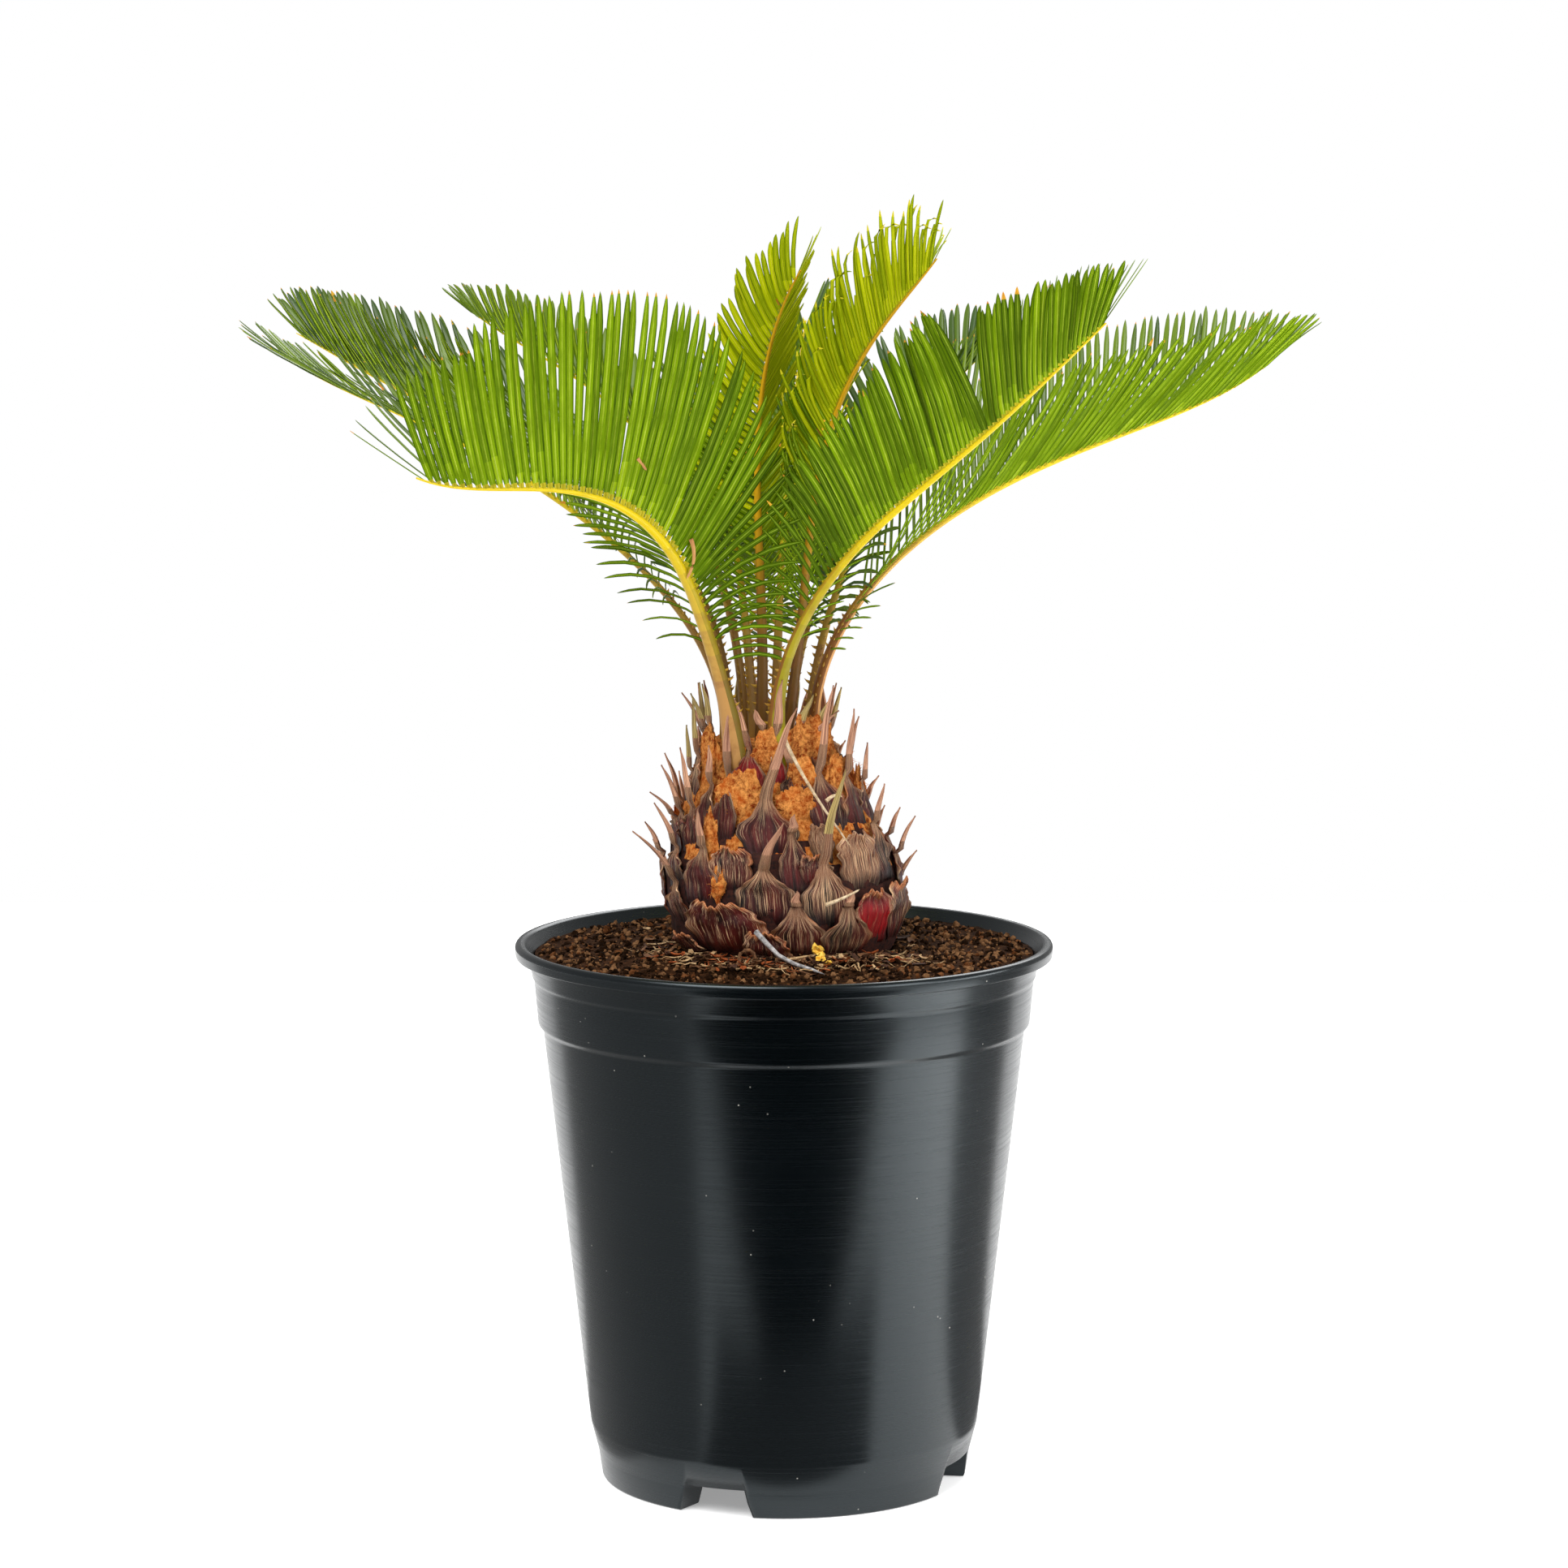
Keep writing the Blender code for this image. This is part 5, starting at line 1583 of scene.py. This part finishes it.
def add_prickle(gathered, rib, share, turn, rng):
    """A small prickle on one side of the petiole, bent a little forwards."""
    way, side, face = rib.frame(share)
    half = rib.half(share)
    foot = rib.point(share) + side * turn * half * 0.85 + face * half * 0.4
    length = rng.uniform(*PRICKLE_LENGTHS) * MM
    tip_way = (side * turn + face * 0.5 + way * rng.uniform(0.1, 0.6)).normalized()
    ring = ring_round(foot, way * PRICKLE_HALF * 1.5, face * PRICKLE_HALF, 4)
    near = [corner + tip_way * length * 0.5 + (foot - corner) * 0.4 for corner in ring]
    gathered.tube([ring, near], PRICKLE_SKIN, foot + tip_way * length + way * 0.4 * MM)


def frond_rib(rib, shades, prickle):
    """The petiole and rib of a frond, with small prickles along the petiole."""
    frond = rib.frond
    gathered = Gathered(*shades, prickle)
    gathered.add(*rib_surface(rib))
    rng = random.Random(SEED + len(frond.name))
    first, last = PRICKLED
    share = frond.bare * first
    while share < frond.bare * last:
        for turn in (1, -1):
            add_prickle(gathered, rib, share, turn, rng)
        share += PRICKLE_SPACING * rng.uniform(*PRICKLE_GAPS) / rib.length
    mesh = gathered.mesh(f"{frond.name}_rib", 50)
    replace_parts(shown(f"{frond.name}_rib", mesh), frond.name)


COMBED_ROOT, COMBED_TIP = 0.45, 0.93      # how far a row's lean turns a leaflet's root and tip
LEAN_DEPTH = 0.35
LOW_ROOT_TURN = 30                # degrees by which the lowest leaflets start nearer to the rib
TIP_RISE = 0.05
LEAF_FOOT = (0.7, 0.35)           # out and up from the rib's middle, in its half-widths
PATH_STEPS = 3                    # steps of a leaflet's path from one section to the next
HOOK_START = 0.7                  # share of a leaflet from which a dry tip hooks over
HOOK_WAY = (0.8, -0.9, -0.4)      # where it then points: along the rib, up and out from it


def combed(lean, depth):
    """A direction that leans from upright by an angle, with a part of its own in depth."""
    return Vector((math.sin(lean), depth, math.cos(lean))).normalized()


def leaflet_ways(rib, row, place, side, sag, turns):
    """Directions in which a leaflet starts and ends, with those of the rib beside it."""
    frond = rib.frond
    way, right, face = rib.frame(rib.leafy(place))
    out = right * side
    spread = math.radians(blend(frond.spread, place)) + turns[0]
    roll = frond.roll * side * min(1.0, 3 * place)
    opening = math.radians(blend(frond.opening, place) + roll) + turns[1]
    lifted = out * math.cos(opening) + face * math.sin(opening)
    start = spread - math.radians(LOW_ROOT_TURN) * ease(0.42, 0.0, place)
    root_way = way * math.cos(start) + lifted * math.sin(start)
    tip_way = way * (math.cos(spread) + TIP_FORWARD * place) + lifted * math.sin(spread)
    tip_way = (tip_way + UP * (TIP_RISE - sag)).normalized()
    if row.lean:
        lean = math.radians(along(row.lean, place)) + turns[0]
        bow = math.radians(along(row.bow, place))
        depth = out.y * LEAN_DEPTH
        root_way = root_way.lerp(combed(lean - bow, depth), COMBED_ROOT).normalized()
        tip_way = tip_way.lerp(combed(lean, depth), COMBED_TIP).normalized()
    return root_way, tip_way, way, out, face


def leaflet_path(rib, row, place, side, length, sag, turns):
    """Points and directions along a leaflet at the shares of its outline, and its tip.

    The turns are its own: along the rib, up from it, and how far a dry tip hooks over.
    """
    root_way, tip_way, way, out, face = leaflet_ways(rib, row, place, side, sag, turns)
    share = rib.leafy(place)
    half = rib.half(share)
    outwards, upwards = LEAF_FOOT
    point = rib.point(share) + out * half * outwards + face * half * upwards
    forwards, upwards, outwards = HOOK_WAY
    hook_way = way * forwards + UP * upwards + out * outwards
    stops = []
    before = 0.0
    for station in [station for station, _ in LEAF_OUTLINE] + [1.0]:
        for step in range(PATH_STEPS):
            middle = before + (station - before) * (step + 0.5) / PATH_STEPS
            turn = root_way.lerp(tip_way, middle).normalized()
            hook = min(turns[2] * ease(HOOK_START, 1.0, middle), 1.0)
            turn = turn.lerp(hook_way, hook).normalized()
            point = point + turn * length * (station - before) / PATH_STEPS
        stops.append((point, turn))
        before = station
    return stops, way


def leaflet_points(stops, way, side, half, twist):
    """Points of a leaflet, section by section, and its tip."""
    points = []
    for (point, turn), (_, width) in zip(stops, LEAF_OUTLINE):
        across = (way - turn * way.dot(turn)).normalized()
        normal = turn.cross(across) * side
        lean = Matrix.Rotation(twist * side, 3, turn)
        across, normal = lean @ across, lean @ normal
        for part, height in LEAF_SECTION:
            points.append(point + across * part * half * width
                          + normal * height * half * (0.4 + 0.6 * width))
    points.append(stops[-1][0])
    return points


def leaflet_finish(band, i, shade, wear):
    """Finish of a leaflet's face in a band of its length, on one side of its section."""
    if (band, i) in wear:
        return wear[band, i]
    if band < 1:
        return LEAF_ROOT
    if i < FACE_SIDES:
        return LEAF_FACE + shade
    if i in MIDRIB_SIDES:
        return MIDRIB + shade
    # Sides at the margins take painted shade.
    if i in SHADED_EDGE_SIDES:
        return LEAF_EDGE_SHADE + shade
    return LEAF_BACK + shade


def add_leaflet(gathered, points, side, tone, pale, wear):
    """One leaflet: a thin closed blade with a raised midrib below and margins curled down.

    It has its own tone, and a paler one on its first bands.
    """
    size = len(LEAF_SECTION)
    last = len(LEAF_OUTLINE) - 1
    tip = len(points) - 1
    faces = [tuple(range(size))]
    finishes = [LEAF_ROOT]
    for band in range(last + 1):
        shade = PALER[tone] if band < pale else tone
        low = band * size
        for i in range(size):
            j = (i + 1) % size
            if band < last:
                faces.append((low + i, low + size + i, low + size + j, low + j))
            else:
                faces.append((low + i, tip, low + j))
            finishes.append(leaflet_finish(band, i, shade, wear))
    if side < 0:
        faces = [face[::-1] for face in faces]
    gathered.add(points, faces, finishes)


YOUNG = 0.9                       # freshness over which a frond's leaflets have young tones
YOUNG_FROM = (0.26, 0.48)         # places on such a frond from which they do
TONE_SPREAD = 0.6
# Shares of leaflets with an orange tip, and of those with more of it orange. The first number
# is for a straight frond, and a curly one has the second added.
WORN_TIPS, WORN_ENDS = (0.3, 0.6), (0.08, 0.8)
STREAKED = 0.025                  # share of leaflets with a scorched streak
PALE_FROM = 0.2                   # place on a frond from which leaflets have pale bands
PALE_BANDS = (0, 1, 1, 2, 3)


def worn(shares, frond, rng):
    """Whether a leaflet is worn, which is drawn at random."""
    straight, curly = shares
    return rng.random() < straight + curly * frond.curl


def leaflet_wear(frond, rng):
    """Faces of a leaflet that are orange at its tip, or have a scorched streak."""
    size = len(LEAF_SECTION)
    last = len(LEAF_OUTLINE) - 1
    tip = LEAF_TIP_YOUNG if frond.fresh > YOUNG else LEAF_TIP
    wear = {}
    if worn(WORN_TIPS, frond, rng):
        wear.update({(last, i): tip for i in range(size)})
        if worn(WORN_ENDS, frond, rng):
            wear.update({(last - 1, i): tip for i in range(size)})
    if rng.random() < STREAKED:
        wear[rng.choice((1, 2, last - 2, last - 1)), rng.choice(STREAK_SIDES)] = LEAF_SCORCH
    return wear


def leaflet_tone(frond, row, place, rng):
    """An index into the tones: bright on young fronds, and darker near the petiole of young and
    seated fronds, partly as painted shade.
    """
    if frond.fresh > YOUNG:
        # Near a young frond's foot the older tones are partly its own colour, partly painted shade.
        young = place > rng.uniform(*YOUNG_FROM)
        return min(TONES - 1, rng.choice(YOUNG_TONES if young else OLDER_TONES[1:]) + row.pale)
    # Painted shade: an older seated frond's leaflets near its petiole get darker tones, deep in the
    # crown.
    shade = 3 * frond.fresh - 1.9 * ease(0.38, 0.1, place) * bool(frond.seat)
    return min(OLDER_TONES[-1], max(0, round(shade + rng.gauss(0, TONE_SPREAD)))) + row.pale


# How leaflets differ from their row's even lie: waves along it, and spreads of the draws
SWING_WAVES = ((0.035, 17), (0.03, 47))
SWING_SPREAD = 0.024
LIFT_WAVE = (0.05, 11)
LIFT_SPREAD = 0.03
SAG = 0.85                        # of the lowest leaflets
SAG_SPREAD = 0.03
SHORTER = 0.06                    # share by which a leaflet may be shorter than its row says
BROKEN = 0.3                      # share of a curly frond's leaflets that are broken
BROKEN_HOOK = 0.9
BROKEN_LENGTHS = (0.65, 0.95)


def leaflet_gap(frond, row, place):
    """Distance from a leaflet to the next of its row, wider near the petiole."""
    return blend(frond.gaps, place) * row.pitch * MM * (1 + 0.4 * ease(0.24, 0.12, place))


def leaflet_length(frond, row, place, rng):
    """Length of a leaflet, and how far its dry tip hooks over. A broken one is shorter."""
    hook = frond.curl * rng.uniform(0.0, 1.0)**1.5 * ease(1.0, 0.8, place)
    length = frond.leaf * MM * along(row.lengths, place)
    length *= rng.uniform(1 - SHORTER * row.loose, 1.0)
    if rng.random() < BROKEN * frond.curl:
        hook = BROKEN_HOOK
        length *= rng.uniform(*BROKEN_LENGTHS)
    return length, hook


def leaflet_turns(row, place, phases, rng):
    """Angles by which a leaflet is off its row's even lie, along the rib and up from it."""
    slow, quick = SWING_WAVES
    swing = wave(slow, place, phases[0]) + wave(quick, place, phases[2])
    swing = swing * row.loose + rng.gauss(0, SWING_SPREAD * row.loose)
    return swing, wave(LIFT_WAVE, place, phases[1]) + rng.gauss(0, LIFT_SPREAD * row.loose)


def leaflet_half(row, place, rng):
    """Half-width of a leaflet. Those near the petiole and the frond's tip are narrow."""
    narrow = 0.48 + 0.52 * ease(0.12, 0.27, place) - 0.28 * ease(0.85, 1.0, place)
    return row.wide * MM * narrow * rng.uniform(0.92, 1.05)


def frond_leaflets(rib, finishes, seed):
    """Both rows of a frond's leaflets, from the petiole to the tip."""
    frond = rib.frond
    rng = random.Random(seed)
    gathered = Gathered(*finishes)
    leafy = rib.length * (1 - frond.bare)
    for side, row in ((1, frond.right), (-1, frond.left)):
        phases = random_phases(rng)
        place = row.start
        while place < (LAST_LEAFLET - frond.bare) / (1 - frond.bare):
            length, hook = leaflet_length(frond, row, place, rng)
            turns = *leaflet_turns(row, place, phases, rng), hook
            sag = SAG * ease(0.45, 0.0, place) + rng.gauss(0, SAG_SPREAD)
            stops, way = leaflet_path(rib, row, place, side, length, sag, turns)
            half = leaflet_half(row, place, rng)
            twist = math.radians(rng.gauss(row.twist, 4 + 2 * row.loose))
            points = leaflet_points(stops, way, side, half, twist)
            tone = leaflet_tone(frond, row, place, rng)
            pale = rng.choice(PALE_BANDS) if place > PALE_FROM else 0
            add_leaflet(gathered, points, side, tone, pale, leaflet_wear(frond, rng))
            place += leaflet_gap(frond, row, place) * rng.uniform(0.9, 1.1) / leafy
    mesh = gathered.mesh(f"{frond.name}_leaflets", 35)
    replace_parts(shown(f"{frond.name}_leaflets", mesh), frond.name)


# Dry curled leaflets caught on the front left frond: each through three places, in mm
DRY_CURLS = (((-36, -48.5, 383), (-33, -46, 375), (-38, -43.5, 367)),
             ((-56, -73, 416), (-54.5, -71.5, 414), (-52.5, -69.5, 411)))
DRY_CURL_HALF = 0.95 * MM


def dry_curls(finishes):
    """The curled remains of dead leaflets that hang in a frond."""
    gathered = Gathered(*finishes)
    for places in DRY_CURLS:
        path = [Vector([value * MM for value in stop]) for stop in curve(places)]
        strand(gathered, path, DRY_CURL_HALF, LEAF_DRY, 6, 0.4)
    shown("dry_curls", gathered.mesh("dry_curls"))


def fronds(finishes):
    """Every frond's rib and its leaflets."""
    petioles = petiole_kinds()
    prickle = rib_skin("prickle", colour(176, 136, 44), colour(120, 70, 26))
    for index, frond in enumerate(FRONDS):
        rib = Rib(frond)
        frond_rib(rib, petioles[frond.petiole], prickle)
        frond_leaflets(rib, finishes, SEED + 20 + index)


# Stage

CAMERA_PLACE = (0.0, -1.9017, 0.5288)
CAMERA_TILT = 7.42                # degrees below the level
CAMERA_LENS = 110.08

FLOOR_SIZE = 3.0
FLOOR_LEVEL = -0.2 * MM
FLOOR_GLOW = 0.3

# Cards that lie on the floor and are seen only where the plant mirrors them: name, corners in
# metres and brightness. The dark ones lie in front and the grey ones at the sides.
FLOOR_CARDS = (
    ("card_front", ((-0.03, -0.20), (0.07, -0.20), (0.60, -0.45), (0.5, -1.4), (-0.6, -1.4),
                    (-0.55, -0.62)), 0.004),
    ("card_near", ((-0.06, -0.09), (0.06, -0.09), (0.2, -0.20), (-0.12, -0.20)), 0.16),
    ("card_left", ((-0.085, -0.05), (-0.06, -0.09), (-0.56, -0.63), (-1.2, -0.5), (-1.2, 0.9),
                   (-0.10, 0.10)), 0.36),
    ("card_right", ((0.10, 0.0), (1.3, -0.1), (1.3, 0.9), (0.1, 0.12)), 0.2),
)
FLOOR_CARD_LEVEL = 0.5 * MM
WALL_CARD = ((-0.7, -1.41, 0.0), (0.6, -1.41, 0.0), (0.6, -1.41, 1.3), (-0.7, -1.41, 1.3))
WALL_CARD_SHADE = 0.01

# Light from all round, as it falls on the plant and as the camera sees it
WORLD_ON_PLANT, WORLD_SEEN = 0.36, 1.0
MAIN_LIGHT_PLACE = (-0.9, -1.3, 2.0)
MAIN_LIGHT_POWER = 2.9
MAIN_LIGHT_WIDTH = 42             # degrees
# Square soft lights: name, place, the point that it looks at, size in metres and power
SOFT_BOXES = (
    ("fill", (1.5, -1.2, 1.0), (0, 0, 0.35), 0.9, 14),
    ("back", (0.4, 1.6, 1.4), (0, 0, 0.35), 1.1, 14),
    ("low_right", (0.48, -0.12, 0.28), (0.48, -0.12, 0), 0.28, 2.8),
)


def plain_sheet(name, corners, finish):
    """A flat sheet through its corners, as part of the stage."""
    bm = bmesh.new()
    bm.faces.new([bm.verts.new(corner) for corner in corners])
    sheet = placed(name, mesh_from(bm, name, [finish.mat]))
    return sheet


def stage_floor():
    """A pale floor that glows faintly, as a lit table top."""
    half = FLOOR_SIZE / 2
    white = Finish("floor_white", 0.8, specular=0.0)
    white.paint(colour(246, 246, 246))
    white.shader.inputs["Emission Color"].default_value = (1, 1, 1, 1)
    white.shader.inputs["Emission Strength"].default_value = FLOOR_GLOW
    corners = ((-half, -half), (half, -half), (half, half), (-half, half))
    plain_sheet("floor", [(x, y, FLOOR_LEVEL) for x, y in corners], white)


def mirrored_card(name, corners, shade):
    """A card near the pot that is seen only where the plant mirrors it."""
    card = Finish(name, 0.9, specular=0.0)
    card.paint((shade, shade, shade, 1.0))
    sheet = plain_sheet(name, corners, card)
    for ray in ("camera", "diffuse", "transmission", "volume_scatter", "shadow"):
        setattr(sheet, f"visible_{ray}", False)


def mirrored_cards():
    """The cards on the floor, and a dark one that stands in front."""
    for name, corners, shade in FLOOR_CARDS:
        mirrored_card(name, [(x, y, FLOOR_CARD_LEVEL) for x, y in corners], shade)
    mirrored_card("card_wall", WALL_CARD, WALL_CARD_SHADE)


def aimed(name, light, place, aim):
    """Put a light at its place and turn it to a point."""
    obj = placed(name, light)
    obj.location = place
    obj.rotation_euler = (Vector(aim) - Vector(place)).to_track_quat("-Z", "Y").to_euler()
    obj.visible_camera = False


def even_light():
    """The world: white where the camera sees it, and dimmer where it lights the plant."""
    world = bpy.data.worlds.new("studio")
    world.use_nodes = True
    tree = world.node_tree
    back = tree.nodes["Background"]
    path = tree.nodes.new("ShaderNodeLightPath")
    strength = tree.nodes.new("ShaderNodeMapRange")
    strength.inputs["To Min"].default_value = WORLD_ON_PLANT
    strength.inputs["To Max"].default_value = WORLD_SEEN
    tree.links.new(path.outputs["Is Camera Ray"], strength.inputs["Value"])
    tree.links.new(strength.outputs["Result"], back.inputs["Strength"])
    back.inputs["Color"].default_value = (1, 1, 1, 1)
    bpy.context.scene.world = world


def studio():
    """Soft light from all round, with the main light high on the left."""
    bpy.context.scene.view_settings.view_transform = "Standard"
    even_light()
    main_light = bpy.data.lights.new("main_light", "SUN")
    main_light.energy = MAIN_LIGHT_POWER
    main_light.angle = math.radians(MAIN_LIGHT_WIDTH)
    aimed("main_light", main_light, MAIN_LIGHT_PLACE, (0, 0, 0))
    for name, place, aim, size, power in SOFT_BOXES:
        light = bpy.data.lights.new(name, "AREA")
        light.energy = power
        light.size = size
        aimed(name, light, place, aim)


def camera():
    """The camera where the photo was taken from."""
    data = bpy.data.cameras.new("camera")
    data.lens = CAMERA_LENS
    obj = placed("camera", data)
    obj.location = CAMERA_PLACE
    obj.rotation_euler = (math.radians(90 - CAMERA_TILT), 0, 0)
    bpy.context.scene.camera = obj


def potted_soil():
    """The pot with its soil and what lies on it."""
    nursery_pot()
    soil_bed()
    soil_crumbs()
    soil_litter()


def caudex():
    """The trunk with its leaf bases, wool and loose fibres."""
    wool = wool_felt()
    caudex_core(wool, dry_stuff("gap_bark", colour(22, 9, 8), colour(66, 28, 18)))
    barks = [
        leaf_base_bark(),
        spine_skin("tan_spine", colour(108, 58, 44), colour(226, 172, 136)),
        spine_skin("olive_spine", colour(92, 72, 34), colour(206, 180, 112)),
    ]
    caudex_scales("front_leaf_bases", FRONT_BASES, barks)
    caudex_scales("back_leaf_bases", back_bases(), barks)
    caudex_wool(wool)
    caudex_fibres()


def main():
    """The stage, then the whole plant from its pot up."""
    camera()
    studio()
    stage_floor()
    mirrored_cards()
    potted_soil()
    caudex()
    finishes = leaf_finishes()
    fronds(finishes)
    dry_curls(finishes)


main()
